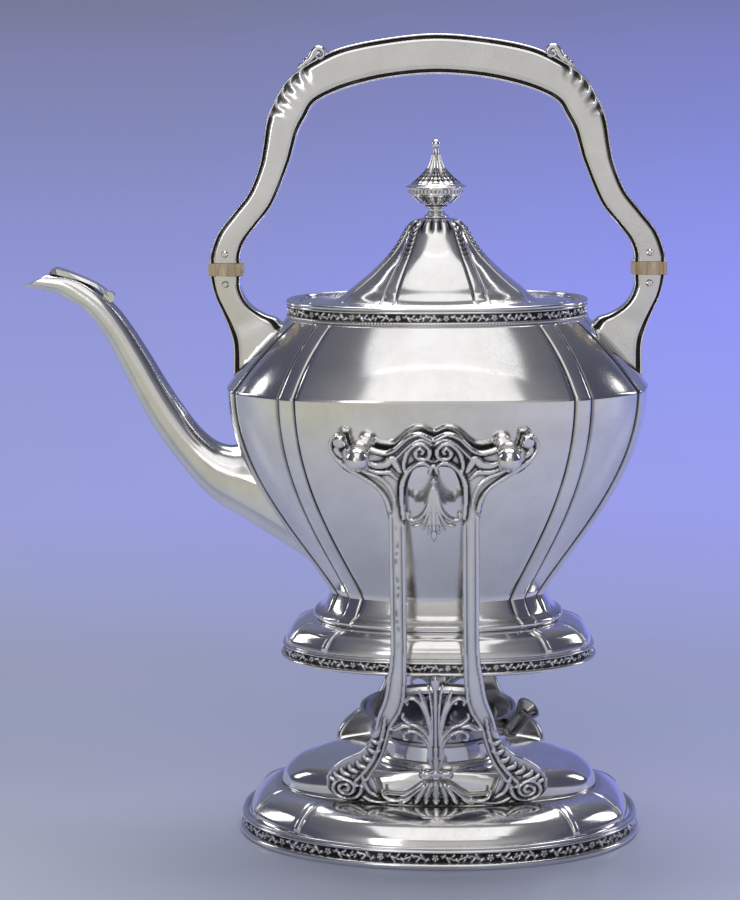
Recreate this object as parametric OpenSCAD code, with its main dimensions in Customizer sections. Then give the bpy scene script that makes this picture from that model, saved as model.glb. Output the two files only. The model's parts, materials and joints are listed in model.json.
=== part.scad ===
// Spirit kettle on its lamp stand. Millimetres, +Z up, spout towards -X.
// The origin is the middle of the stand's footprint, on the table.

/* [Stand base] */
// Length of the stand's foot rim
base_len = 172; // [150:1:200]
// Depth of the stand's foot rim
base_depth = 116; // [100:1:130]
// Height of the ornamented foot rim
base_rim_h = 9.6; // [7:0.1:12]
// Height of the ledge that the brackets stand on
ledge_h = 20.7; // [17:0.1:26]
// Length of the ledge oval
ledge_len = 137; // [130:1:146]
// Depth of the ledge oval
ledge_depth = 79; // [77:0.5:84]
// Depth of the raised deck inside the ledge
deck_depth = 65; // [63:0.5:66]
// Rise of the deck from the ledge to the lamp collar
deck_rise = 14; // [11:0.5:18]
// Sheet thickness of the stand
base_wall = 1.5; // [1.2:0.1:2.5]

/* [Brackets] */
// Thickness of the cast brackets
bracket_thick = 4.5; // [3.5:0.1:5]
// How far a bracket leans out for each millimetre of height
bracket_lean = 0.15; // [0.146:0.001:0.16]
// Radius of the bow that a bracket has in plan, at the ledge
bracket_bow = 135; // [125:1:170]
// Distance of the two bracket feet from the middle, at the ledge
bracket_foot_y = 37; // [36.5:0.1:37.5]
// Width of a bracket leg
leg_w = 6.6; // [5:0.1:8]
// Clear width between the two legs of a bracket
leg_gap = 22.8; // [20:0.1:26]

/* [Studs] */
// Height of the four studs that carry the kettle
stud_h = 171.5; // [167:0.5:176]
// Distance between the two studs on one side
stud_pitch = 60; // [56:0.5:64]
// Diameter of a stud's shank
stud_shank_d = 7; // [6:0.1:8]
// Diameter of a stud's ball head
stud_ball_d = 9.8; // [9:0.1:12]
// Radial clearance of a shank in its seat
stud_fit = 0.06; // [0.03:0.01:0.1]

/* [Lamp] */
// Radius of the bore of the stand's lamp collar
collar_bore_r = 27; // [25:0.1:28]
// Height of the top of the lamp collar
collar_top = 43.4; // [42:0.1:46]
// Radius of the lamp's gallery drum
drum_r = 27.5; // [26.5:0.1:28.3]
// Radius of the flared top of the gallery
flange_r = 33.75; // [31:0.25:36]
// Height of the flared top of the gallery
flange_top = 53.6; // [52:0.1:56]
// Number of air holes round the drum
air_holes = 12; // [8:1:16]
// Radius of the wick tube
wick_tube_r = 5; // [4:0.1:6.5]
// Radial clearance between the font and the collar
lamp_fit = 0.3; // [0.2:0.05:0.5]
// Diameter of the filler tube
filler_d = 7.4; // [6:0.1:7.6]

/* [Kettle] */
// Length of the body at its crease
body_len = 177; // [172:1:188]
// Depth of the body at its crease
body_depth = 108; // [104:0.5:109]
// Height of the crease round the body
crease_h = 193; // [188:0.5:194]
// Length of the body at its waist
waist_len = 92; // [88:1:100]
// Depth of the body at its waist
waist_depth = 57; // [52:1:62]
// Height of the waist
waist_h = 105.5; // [101:0.5:107]
// Height of the lip where the body sits on its foot
lip_h = 93.5; // [91:0.5:96]
// Length of the lip
lip_len = 106.5; // [104:0.5:112]
// Length of the collar round the mouth
collar_len = 125; // [124:1:134]
// Depth of the collar round the mouth
collar_depth = 80; // [76:1:84]
// Height of the shoulder where the collar starts
shoulder_h = 221.4; // [218:0.2:223]
// Height of the top of the collar
rim_h = 228.8; // [225:0.1:230]
// Wall of the kettle
wall = 1.5; // [1.2:0.1:2]
// Length of the kettle's foot rim
foot_len = 134.5; // [130:0.5:140]
// Depth of the kettle's foot rim
foot_depth = 79; // [76:0.5:83]
// Height of the bottom of the kettle's foot
foot_bottom = 76.5; // [74:0.5:79]
// Height of the ornamented border of the foot
foot_rim_h = 7.2; // [6:0.1:8]
// Width of the raised strips between the panels
strip_w = 6.4; // [5:0.1:8]
// How far the strips stand out
strip_lift = 0.7; // [0.4:0.1:1]

/* [Spout] */
// How far the tip reaches past the end of the body
spout_reach = 85.5; // [80:0.5:92]
// Height of the tip
spout_tip_h = 234; // [228:0.5:240]
// Half width of the spout at its root
spout_root_w = 14; // [12:0.5:16]
// Half width of the spout at its beak
spout_tip_w = 4.6; // [4:0.1:6]
// Wall of the spout
spout_wall = 1.3; // [1:0.1:1.6]

/* [Handle] */
// Height of the top of the handle
handle_top = 337.5; // [330:0.5:352]
// Thickness of the handle from front to back
handle_thick = 9.4; // [8:0.2:12]
// Depth of the handle's section at its top
handle_deep = 16.8; // [14:0.2:19]
// Height of the insulators, at their middle
insulator_h = 241.3; // [239:0.1:243]
// Thickness of an insulator
insulator_t = 5.2; // [4:0.1:7]
// Diameter of the pins through the insulators
pin_d = 2; // [1.6:0.1:2.4]

/* [Lid] */
// Gap between the lid and the mouth
lid_gap = 0.5; // [0.3:0.1:0.8]
// Thickness of the lid's flat rim
lid_rim_t = 1.6; // [1.2:0.1:2.2]
// Length of the foot of the dome
dome_len = 84; // [78:1:92]
// Depth of the foot of the dome
dome_depth = 54; // [48:1:58]
// Height of the top of the dome
dome_top = 262; // [256:0.5:266]
// Height of the finial from the dome to its ball
finial_h = 32.4; // [28:0.2:38]
// Radius of the widest part of the finial
finial_r = 12.7; // [10:0.1:15]
// Diameter of the hinge pin
hinge_pin_d = 1.8; // [1.4:0.1:2.2]
// Radial clearance of the hinge pin
hinge_fit = 0.05; // [0.03:0.01:0.1]

/* [Hidden] */
silver = [0.80, 0.79, 0.77];
dark_silver = [0.55, 0.54, 0.53];
ivory = [0.87, 0.80, 0.66];
seat = 0.05;

body_a = body_len / 2;
body_b = body_depth / 2;
waist_a = waist_len / 2;
waist_b = waist_depth / 2;
lip_a = lip_len / 2;
lip_b = lip_a * waist_b / waist_a;
mouth_a = collar_len / 2;
mouth_b = collar_depth / 2;
foot_a = foot_len / 2;
foot_b = foot_depth / 2;
base_a = base_len / 2;
base_b = base_depth / 2;
ledge_a = ledge_len / 2;
ledge_b = ledge_depth / 2;
deck_a = ledge_a - 0.7;
deck_b = deck_depth / 2;
stud_x = stud_pitch / 2;
shank_r = stud_shank_d / 2;
ball_r = stud_ball_d / 2;
seat_r = shank_r + stud_fit;
slot_r = seat_r + 0.2;
collar_r = collar_bore_r + 2.4;

// Points of a curve through the given points, steps to each stretch
function spline_at(p0, p1, p2, p3, u) =
    0.5 * (2 * p1 + (p2 - p0) * u + (2 * p0 - 5 * p1 + 4 * p2 - p3) * u * u
        + (3 * p1 - p0 - 3 * p2 + p3) * u * u * u);
function spline(p, steps) = let(last = len(p) - 1) concat(
    [for (i = [0 : last - 1], k = [0 : steps - 1])
        spline_at(p[max(i - 1, 0)], p[i], p[i + 1], p[min(i + 2, last)], k / steps)],
    [p[last]]);
function reverse(p) = [for (i = [len(p) - 1 : -1 : 0]) p[i]];
function mix(a, b, u) = a + (b - a) * u;

// Half outline in x and z, closed by its mirror image across x = 0
function both_sides(p) = concat(p, reverse([for (q = p) [-q[0], q[1]]]));

// A point of an oval whose corners fill out as n grows
function oval_at(a, b, n, t) = [a * pow(max(cos(t), 0), 2 / n), b * pow(max(sin(t), 0), 2 / n)];
function oval_normal(a, b, n, t) = let(p = oval_at(a, b, n, t),
    g = [pow(p[0] / a, n - 1) / a, pow(p[1] / b, n - 1) / b]) g / norm(g);
// Angle that a length w covers at angle t
function oval_step(a, b, n, t, w) =
    w / norm(oval_at(a, b, n, t + 0.5) - oval_at(a, b, n, t - 0.5));

// A quarter of the panelled oval: end panel, strip, corner panel, strip, side panel
end_strip_t = 20;
groove_w = 0.6;
function panel_point(a, b, n, flat, t, lo, hi) = let(k = (t - lo) / (hi - lo))
    mix(oval_at(a, b, n, t),
        mix(oval_at(a, b, n, max(lo, 0)), oval_at(a, b, n, min(hi, 90)), max(0, min(1, k))), flat);
function quarter(a, b, n, flat, lift, side_t, w) = let(
    de = oval_step(a, b, n, end_strip_t, w / 2),
    ge = oval_step(a, b, n, end_strip_t, groove_w),
    ds = oval_step(a, b, n, side_t, w / 2),
    gs = oval_step(a, b, n, side_t, groove_w),
    e0 = end_strip_t - de - ge,
    e1 = end_strip_t + de + ge,
    s0 = side_t - ds - gs,
    s1 = side_t + ds + gs) concat(
    [[mix(a, oval_at(a, b, n, e0)[0], flat), 0]],
    [let(p = oval_at(a, b, n, e0 / 2))
        [mix(p[0], mix(a, oval_at(a, b, n, e0)[0], 0.8), flat), p[1]]],
    [oval_at(a, b, n, e0)],
    [for (t = [e0 + ge, e1 - ge]) oval_at(a, b, n, t) + lift * oval_normal(a, b, n, t)],
    [oval_at(a, b, n, e1)],
    [for (k = [1 : 2]) panel_point(a, b, n, flat, mix(e1, s0, k / 3), e1, s0)],
    [oval_at(a, b, n, s0)],
    [for (t = [s0 + gs, s1 - gs]) oval_at(a, b, n, t) + lift * oval_normal(a, b, n, t)],
    [oval_at(a, b, n, s1)],
    [for (k = [0.36, 0.7]) let(p = oval_at(a, b, n, mix(s1, 90, k)))
        [p[0], mix(p[1], mix(oval_at(a, b, n, s1)[1], b, sin(90 * k)), flat)]],
    [[0, b]]);
function full(q, z) = let(last = len(q) - 1) concat(
    [for (i = [0 : last]) [q[i][0], q[i][1], z]],
    [for (i = [last - 1 : -1 : 0]) [-q[i][0], q[i][1], z]],
    [for (i = [1 : last]) [-q[i][0], -q[i][1], z]],
    [for (i = [last - 1 : -1 : 1]) [q[i][0], -q[i][1], z]]);
function ring(z, a, b, n = 2.4, flat = 0.3, lift = 0, side_t = 50, w = strip_w) =
    full(quarter(a, b, n, flat, lift, side_t, w), z);

// Skin over a row of rings; it closes on itself or gets an end cap at each end
module loft(rings, closed = false) {
    m = len(rings[0]);
    count = len(rings);
    pairs = closed ? count : count - 1;
    walls = [for (i = [0 : pairs - 1], j = [0 : m - 1])
        let(k = (i + 1) % count, j2 = (j + 1) % m, a = i * m + j, b = i * m + j2,
            c = k * m + j2, d = k * m + j) each [[a, d, c], [a, c, b]]];
    middle = function(r) [for (x = [0 : 2]) [for (p = r) p[x]] * [for (p = r) 1 / m]];
    first = count * m;
    caps = closed ? [] : [for (j = [0 : m - 1]) each
        [[first, j, (j + 1) % m],
         [first + 1, (count - 1) * m + (j + 1) % m, (count - 1) * m + j]]];
    ends = closed ? [] : [middle(rings[0]), middle(rings[count - 1])];
    polyhedron(points = concat([for (r = rings) each r], ends), faces = concat(walls, caps));
}

// Body, from the lip up to the shoulder; inset moves the surface inwards
waist_side_t = 46;
crease_side_t = 52.5;
function swell(u) = pow(sin(90 * u), 1.1);
function body_low(u, inset = 0) = let(s = swell(u))
    ring(mix(waist_h, crease_h, u), mix(waist_a, body_a, s) - inset, mix(waist_b, body_b, s) - inset,
        n = mix(2.35, 2.5, s), lift = inset > 0 ? 0 : strip_lift,
        side_t = mix(waist_side_t, crease_side_t, s));
function body_flare(u) = let(s = pow(u, 0.45))
    ring(mix(lip_h + 4, waist_h, u), mix(lip_a, waist_a, s), mix(lip_b, waist_b, s), n = 2.35,
        lift = strip_lift * u, side_t = waist_side_t);
function shoulder(u, inset = 0) = let(bulge = 1.8 * sin(180 * u))
    ring(mix(crease_h, shoulder_h, pow(u, 1.04)) - inset * 0.6,
        mix(body_a, mouth_a, u) + bulge - inset, mix(body_b, mouth_b, u) + bulge - inset,
        n = mix(2.5, 2.2, u),
        flat = mix(0.3, 0.05, pow(u, 3)), lift = inset > 0 ? 0 : strip_lift * (1 - pow(u, 6)),
        side_t = mix(crease_side_t, waist_side_t, u));
low_steps = [0, 0.06, 0.14, 0.24, 0.36, 0.5, 0.64, 0.78, 0.9, 1];
shoulder_steps = [0.12, 0.35, 0.6, 0.82, 1];
function body_outside() = concat(
    [ring(lip_h, lip_a - 1.2, lip_b - 1.2, n = 2.3), ring(lip_h + 1, lip_a, lip_b, n = 2.3),
     ring(lip_h + 3, lip_a, lip_b, n = 2.3)],
    [for (u = [0.08, 0.3, 0.62]) body_flare(u)],
    [for (u = low_steps) body_low(u)], [for (u = shoulder_steps) shoulder(u)]);
inside_low_steps = [0.1, 0.3, 0.5, 0.72, 0.94];
function body_inside() = concat(
    [shoulder(0.96, wall), shoulder(0.5, wall), shoulder(0.04, wall)],
    [for (u = reverse(inside_low_steps)) body_low(u, wall)],
    [ring(waist_h - 1, waist_a - wall - 0.5, waist_b - wall - 0.5, n = 2.35),
     ring(lip_h + 6, waist_a - 3, waist_b - 3, n = 2.3)]);
// Solids within the kettle's outer skin, which what is soldered on is cut to
module lower_envelope(from, to) {
    loft([for (u = low_steps) if (u >= from && u <= to) body_low(u)]);
}
module shoulder_envelope() {
    loft(concat([body_low(1)], [for (u = shoulder_steps) shoulder(u)]));
}
// Depth of the kettle's side at a height and a distance from its middle
function side_y(x, z) = let(s = swell((z - waist_h) / (crease_h - waist_h)),
    a = mix(waist_a, body_a, s), b = mix(waist_b, body_b, s), n = mix(2.35, 2.5, s))
    b * pow(1 - pow(abs(x) / a, n), 1 / n);

// Stations of a swept bar: outer edge, inner edge and half thickness, each a point in x and z
function station(p, section) = let(o = [p[0], p[1]], i = [p[2], p[3]], mid = (o + i) / 2, half = (o - i) / 2)
    [for (q = section) let(c = mid + half * q[0]) [c[0], q[1] * p[4], c[1]]];
function sweep(path, section, steps) = [for (p = spline(path, steps)) station(p, section)];

// Stand

deck_levels = [[0, 0], [0.4, 0.05], [0.7, 0.2], [0.88, 0.45], [1, 1]];
function deck_ring(k, inset) = let(z = ledge_h - 0.6 + deck_rise * k[0], end_r = collar_r + 1)
    ring(z - inset, mix(deck_a, end_r, k[1]) - inset * (1 - k[1]),
        mix(deck_b, end_r, k[1]) - inset * (1 - k[1]), n = mix(2.3, 2, k[1]), flat = 0);
panel_levels = [[0, 0], [0.35, 0.12], [0.66, 0.36], [0.88, 0.7], [1, 1]];
function panel_ring(k, inset) = let(z = mix(base_rim_h, ledge_h, k[0]),
    a = mix(base_a - 3.4, ledge_a, k[1]), b = mix(base_b - 3.4, ledge_b, k[1]))
    ring(z - inset, a - inset, b - inset, n = 2.2, flat = 0.5, lift = inset > 0 ? 0 : 0.4,
        side_t = 47, w = 2.4);
module stand_base() {
    outside = concat(
        [ring(0, base_a - 3, base_b - 3, n = 2.15, flat = 0),
         ring(base_rim_h - 0.6, base_a - 3, base_b - 3, n = 2.15, flat = 0)],
        [for (k = panel_levels) panel_ring(k, 0)],
        [ring(ledge_h - 0.6, ledge_a - 0.4, ledge_b - 0.5, n = 2.3, flat = 0)],
        [for (k = deck_levels) deck_ring(k, 0)],
        [ring(ledge_h - 0.6 + deck_rise, collar_r - 0.6, collar_r - 0.6, n = 2, flat = 0)]);
    inside = concat(
        [ring(ledge_h - 0.6 + deck_rise - base_wall, collar_r - 0.6, collar_r - 0.6, n = 2, flat = 0)],
        [for (k = [[0.88, 0.45], [0.7, 0.2], [0, 0]]) deck_ring(k, base_wall)],
        [for (k = [[0.88, 0.7], [0.35, 0.12]]) panel_ring(k, base_wall)],
        [ring(0, base_a - 3 - base_wall, base_b - 3 - base_wall, n = 2.15, flat = 0)]);
    color(silver) loft(concat(outside, inside), closed = true);
}

// Border moulding: bead, hollow band, bead, as one skin
function border_rings(a, b, z0, h, n, foot_out) = [for (k = [[0, foot_out - 0.3], [0.2, foot_out],
    [0.3, -0.5], [0.72, -0.6], [0.84, 0.1], [1, -0.5]])
    ring(z0 + h * k[0], a + k[1], b + k[1], n = n, flat = 0)];
module border(a, b, z0, h, n, foot_out, back_a, back_b) {
    loft(concat(border_rings(a, b, z0, h, n, foot_out),
        [ring(z0 + h, back_a, back_b, n = n, flat = 0), ring(z0, back_a, back_b, n = n, flat = 0)]),
        closed = true);
}
// Flat edge under the border, which the stand rests on
rest_t = 0.8;
function flat_oval(a, b, n) = [for (p = ring(0, a, b, n = n, flat = 0)) [p[0], p[1]]];
module stand_rim_border() {
    back = 3 - seat;
    color(silver) {
        border(base_a - 0.9, base_b - 0.9, rest_t - 0.3, base_rim_h - 0.1 - rest_t, 2.15, 0.9,
            base_a - back + 0.05, base_b - back + 0.05);
        linear_extrude(rest_t) difference() {
            polygon(flat_oval(base_a - 0.2, base_b - 0.2, 2.15));
            polygon(flat_oval(base_a - back, base_b - back, 2.15));
        }
    }
}

module lamp_collar() {
    foot_z = ledge_h - 0.6 + deck_rise;
    color(silver) rotate_extrude($fn = 96) polygon([
        [collar_bore_r, foot_z - 3], [collar_r - 0.7, foot_z - 3], [collar_r - 0.7, foot_z + seat],
        [collar_r + 1.6, foot_z + seat], [collar_r + 1.9, foot_z + 0.7], [collar_r + 1.4, foot_z + 1.4],
        [collar_r + 0.4, foot_z + 1.6], [collar_r + 0.9, foot_z + 2.1], [collar_r + 0.4, foot_z + 2.7],
        [collar_r - 0.1, foot_z + 3], [collar_r - 0.1, collar_top - 0.5], [collar_r - 0.5, collar_top],
        [collar_bore_r, collar_top]]);
}

// Brackets: a front outline cut out of a leaning conical band
leg_in = leg_gap / 2;
leg_out = leg_in + leg_w;
arch_top = stud_h - 1.8;
// Band that a bracket is cut from, bowed in plan and leaning outwards
module bracket_band() {
    r0 = bracket_bow - bracket_thick / 2;
    z1 = stud_h + 14;
    rise = z1 - ledge_h;
    lean = rise * bracket_lean;
    translate([0, bracket_bow - bracket_foot_y, 0]) rotate([0, 0, 250]) rotate_extrude(angle = 40, $fn = 180)
        polygon([[r0, ledge_h + seat], [r0 + bracket_thick, ledge_h + seat],
            [r0 + bracket_thick + lean, z1], [r0 + lean, z1]]);
}
// Depth of a bracket's middle surface at a place
function bracket_y(x, z) = let(r = bracket_bow + (z - ledge_h) * bracket_lean)
    bracket_foot_y - bracket_bow + sqrt(r * r - x * x);
// Outer edge of one half, from the crest notch over arm, hook and leg down to the foot
function half_outer() = concat(
    spline([[0, stud_h + 8.3], [4.3, stud_h + 10], [7.9, stud_h + 9.4], [11, stud_h + 7.2],
        [14.5, stud_h + 4.3], [18.9, stud_h + 2.2], [23, stud_h + 3.4], [stud_x - shank_r - 1.6, stud_h + 4.2]], 3),
    [[stud_x - slot_r, stud_h + 2.4], [stud_x - slot_r, stud_h - 1], [stud_x + slot_r, stud_h - 1],
     [stud_x + slot_r, stud_h + 3]],
    spline([[stud_x + slot_r + 1.2, stud_h + 6.2], [stud_x + 5.4, stud_h + 8.6], [stud_x + 8.6, stud_h + 7.6],
        [stud_x + 10.6, stud_h + 3], [stud_x + 9.2, stud_h - 1.8], [stud_x + 5.1, stud_h - 6],
        [stud_x - 0.2, stud_h - 8.2], [stud_x - 4.8, stud_h - 10.9], [leg_out + 3.7, stud_h - 14.6],
        [leg_out + 1.6, stud_h - 19], [leg_out, stud_h - 27]], 3),
    spline([[leg_out, stud_h - 60], [leg_out, ledge_h + 70], [leg_out + 1.6, ledge_h + 56],
        [leg_out + 2.8, ledge_h + 48], [leg_out + 5.6, ledge_h + 40], [leg_out + 7, ledge_h + 34],
        [leg_out + 9.4, ledge_h + 28.5], [leg_out + 13.6, ledge_h + 23.4], [leg_out + 20.5, ledge_h + 19.4],
        [leg_out + 26, ledge_h + 14.4], [leg_out + 28, ledge_h + 8.6], [leg_out + 26.4, ledge_h + 3.6],
        [leg_out + 21, ledge_h - 1]], 3),
    [[0, ledge_h - 1]]);
// Opening between the legs, from the arch down to the palmette
function half_gap() = concat(
    spline([[0, stud_h - 8.8], [1.6, stud_h - 4.4], [4.6, arch_top - 1], [7.8, stud_h - 5],
        [leg_in - 1.4, stud_h - 10], [leg_in, stud_h - 17]], 3),
    spline([[leg_in, ledge_h + 66], [leg_in + 0.8, ledge_h + 50], [leg_in + 3.2, ledge_h + 42],
        [leg_in + 6.8, ledge_h + 36], [leg_in + 8, ledge_h + 29], [leg_in + 11, ledge_h + 20],
        [leg_in + 15.2, ledge_h + 13.4]], 3),
    [[leg_in + 12, ledge_h + 4.4], [0, ledge_h + 3.4]]);
// Leaf between two points with its widest place a third of the way up
function leaf(p, q, w, bend = 0) = let(d = q - p, side = [-d[1], d[0]] / norm(d),
    row = [for (u = [0 : 0.125 : 1]) [p + d * u + side * bend * sin(180 * u), w * sin(180 * pow(u, 0.75)) + 0.35]])
    concat([for (r = row) r[0] - side * r[1] / 2], reverse([for (r = row) r[0] + side * r[1] / 2]));
// Small round boss or berry, as points
function berry(c, r, n = 18) = [for (i = [0 : n - 1]) c + r * [cos(360 * i / n), sin(360 * i / n)]];
// An outline and its mirror image across x = 0
module pair(p) {
    polygon(p);
    polygon(reverse([for (q = p) [-q[0], q[1]]]));
}
// Honeysuckle leaves below the legs' arch, in x and z
module palmette() {
    heart = [0, ledge_h + 14.3];
    polygon(berry(heart, 2.4));
    for (t = [45 : 90 : 315]) polygon(berry(heart + 3.4 * [cos(t), sin(t)], 1.9, 14));
    polygon(leaf([0, ledge_h + 13], [0, ledge_h + 58], 3.4));
    polygon([[-0.6, ledge_h + 14], [0.6, ledge_h + 14], [0.6, ledge_h + 26], [-0.6, ledge_h + 26]]);
    polygon(leaf([0, ledge_h + 13], [0, ledge_h - 0.5], 4.4));
    pair(leaf([0.4, ledge_h + 24], [3.6, ledge_h + 54], 2.2, -0.8));
    pair(leaf([0.6, ledge_h + 22], [11.4, ledge_h + 46.5], 3.4, 3));
    pair(leaf([0.8, ledge_h + 18], [16.8, ledge_h + 35], 4.4, 3.6));
    pair(leaf([1.5, ledge_h + 14], [15.6, ledge_h + 5.5], 2, -2));
    pair(leaf([1.5, ledge_h + 12.5], [9.4, ledge_h - 0.5], 3.6, -1));
    pair(leaf([10, ledge_h + 1], [24, ledge_h + 4.6], 2.6, -2.4));
    pair(berry([12.2, ledge_h + 46.2], 1.8, 14));
    pair(berry([17.4, ledge_h + 35.4], 2.2, 14));
}
// Drop ornament that hangs from the crest, in x and z
module pendant() {
    polygon(berry([0, stud_h - 8.8], 1.7, 14));
    polygon(leaf([0, stud_h - 9], [0, stud_h - 34.6], 4.2));
    pair(leaf([0.5, stud_h - 12], [4.2, stud_h - 30], 2.6, 0.8));
    pair(leaf([1, stud_h - 15], [leg_in - 0.3, stud_h - 24.4], 2.2, 3.4));
    pair(berry([leg_in - 1, stud_h - 24.2], 1.6, 14));
}
module bracket_outline() {
    difference() {
        polygon(reverse(both_sides(half_outer())));
        polygon(reverse(both_sides(half_gap())));
    }
    palmette();
    pendant();
    // Bulbs on the hooks' tips
    pair(berry([stud_x + 6.9, stud_h + 6.4], 2.7));
}
module plate(y0, y1) {
    translate([0, -y0, 0]) rotate([90, 0, 0]) linear_extrude(y1 - y0) children();
}
module bracket() {
    reach = bracket_y(0, stud_h + 14) + bracket_thick;
    low = bracket_y(leg_out + 30, ledge_h) - bracket_thick;
    intersection() {
        difference() {
            plate(low, reach) bracket_outline();
            for (s = [-1, 1]) translate([s * stud_x, -low, stud_h]) rotate([90, 0, 0])
                cylinder(r = seat_r, h = reach - low, $fn = 48);
        }
        bracket_band();
    }
}
module front_bracket() { color(silver) bracket(); }
module back_bracket() { color(silver) rotate([0, 0, 180]) bracket(); }

// Lamp

font_top = collar_top + seat + 1;
font_r = collar_bore_r - lamp_fit;
font_bottom = ledge_h + 1;
module lamp_font() {
    color(dark_silver) difference() {
        rotate_extrude($fn = 96) polygon(concat(
            [[wick_tube_r + seat, font_bottom + 4]],
            [[0, font_bottom + 4], [0, font_bottom]],
            [for (t = [0 : 15 : 90]) [font_r - 5 + 5 * sin(t), font_bottom + 5 - 5 * cos(t)]],
            [[font_r, collar_top + seat], [collar_r - 0.6, collar_top + seat],
             [collar_r - 0.6, font_top], [wick_tube_r + seat, font_top],
             [wick_tube_r + seat, font_top - 1.2], [font_r - 1.2, font_top - 1.2],
             [font_r - 1.2, font_bottom + 4]]));
        filler_bore();
    }
}
drum_top = flange_top - 5;
hole_z = font_top + 2.3;
module lamp_gallery() {
    t = 1.1;
    color(dark_silver) difference() {
        rotate_extrude($fn = 96) polygon(concat(
            [[drum_r - t, font_top + seat], [drum_r, font_top + seat], [drum_r, drum_top]],
            [for (u = [0.2 : 0.2 : 1]) [mix(drum_r, flange_r - 0.4, 1 - cos(90 * u)), mix(drum_top, flange_top - 1.2, sin(90 * u))]],
            [[flange_r, flange_top - 0.6], [flange_r - 0.4, flange_top], [flange_r - 1.6, flange_top]],
            [for (u = [0.2 : 0.2 : 1]) [mix(flange_r - 2, drum_r + 1.2, u), flange_top - 0.6 - 1.2 * u]],
            [[drum_r - t, flange_top - 2.6]]));
        for (i = [0 : air_holes - 1]) rotate([0, 0, (i + 0.5) * 360 / air_holes])
            translate([drum_r - 3, 0, hole_z]) rotate([0, 90, 0]) cylinder(r = 1, h = 6, $fn = 24);
        filler_place() rotate([0, 90, 0])
            cylinder(r = filler_d / 2 + seat, h = drum_r + 4, $fn = 48);
    }
}
filler_turn = -30;
filler_z = font_top + filler_d / 2 + 0.35;
elbow_x = 35.4;
mouth_len = 13;
mouth_tilt = 41;
module filler_place() {
    rotate([0, 0, filler_turn]) translate([0, 0, filler_z]) children();
}
module filler_bore() {
    rotate([0, 0, filler_turn]) translate([drum_r - 7, 0, font_top - 3]) cylinder(r = 2.4, h = 6, $fn = 32);
}
module filler_tube() {
    r = filler_d / 2;
    root_x = drum_r - 7;
    color(dark_silver) filler_place() difference() {
        union() {
            translate([root_x, 0, font_top + seat - filler_z]) cylinder(r = 3.2, h = filler_z - font_top, $fn = 32);
            translate([root_x, 0, 0]) sphere(r = r + 0.3, $fn = 48);
            translate([root_x, 0, 0]) rotate([0, 90, 0]) cylinder(r = r, h = elbow_x - root_x, $fn = 48);
            translate([elbow_x, 0, 0]) sphere(r = r + 0.3, $fn = 48);
            translate([elbow_x, 0, 0]) rotate([0, mouth_tilt, 0]) {
                cylinder(r = r, h = mouth_len, $fn = 48);
                translate([0, 0, mouth_len - 3]) cylinder(r1 = r, r2 = r + 1.5, h = 3, $fn = 48);
                translate([0, 0, mouth_len]) cylinder(r = r + 1.5, h = 0.8, $fn = 48);
            }
        }
        translate([root_x, 0, font_top - filler_z - 1]) cylinder(r = r - 1.4, h = filler_z - font_top + 1, $fn = 32);
        translate([root_x, 0, 0]) sphere(r = r - 0.9, $fn = 48);
        translate([root_x, 0, 0]) rotate([0, 90, 0]) cylinder(r = r - 1.2, h = elbow_x - root_x, $fn = 48);
        translate([elbow_x, 0, 0]) sphere(r = r - 0.9, $fn = 48);
        translate([elbow_x, 0, 0]) rotate([0, mouth_tilt, 0]) {
            cylinder(r = r - 1.2, h = mouth_len + 2, $fn = 48);
            translate([0, 0, mouth_len - 2.6]) cylinder(r1 = r - 1.2, r2 = r + 0.7, h = 3.4 + 0.01, $fn = 48);
        }
    }
}
wick_top = font_top + 9;
module wick_tube() {
    color(dark_silver) rotate_extrude($fn = 64) polygon([
        [wick_tube_r - 1, font_bottom + 10], [wick_tube_r, font_bottom + 10], [wick_tube_r, font_top + seat],
        [wick_tube_r + 1.6, font_top + seat], [wick_tube_r + 1.6, font_top + 1.2],
        [wick_tube_r, font_top + 2], [wick_tube_r, wick_top], [wick_tube_r - 1, wick_top]]);
}
module wick() {
    color("ivory") translate([0, 0, font_bottom + 6])
        cylinder(r = wick_tube_r - 1 - seat, h = wick_top + 0.4 - font_bottom - 6, $fn = 48);
}
// Snuffer: a cap over the wick tube, hinged on a lug at the tube's back
snuff_y = wick_tube_r + 3.7;
snuff_z = wick_top - 1.5;
snuff_pin_r = 0.9;
snuff_r = wick_tube_r + 1.5;
module snuffer_cap() {
    color(dark_silver) difference() {
        union() {
            translate([0, 0, wick_top - 3]) cylinder(r = snuff_r, h = 5.4, $fn = 64);
            translate([0, 0, wick_top + 2.4]) cylinder(r1 = snuff_r, r2 = 2, h = 2, $fn = 64);
            translate([0, 0, wick_top + 4.4]) sphere(r = 1.8, $fn = 32);
            translate([-2, wick_tube_r, snuff_z - 0.4]) cube([4, snuff_y - wick_tube_r, 2.2]);
            translate([-2, snuff_y, snuff_z]) rotate([0, 90, 0]) cylinder(r = 1.8, h = 4, $fn = 32);
        }
        translate([0, 0, wick_top - 4]) cylinder(r = snuff_r - 0.9, h = 5.2, $fn = 64);
        translate([-3, snuff_y, snuff_z]) rotate([0, 90, 0]) cylinder(r = snuff_pin_r + hinge_fit, h = 6, $fn = 32);
    }
}
module snuffer_pin() {
    color(dark_silver) {
        translate([-4.4, snuff_y, snuff_z]) rotate([0, 90, 0]) cylinder(r = snuff_pin_r, h = 8.8, $fn = 32);
        for (s = [-1, 1]) translate([s * 3.35 - 1, snuff_y - 1.6, font_top + seat])
            cube([2, 3.2, snuff_z - font_top + 1.6]);
    }
}

// Studs

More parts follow.
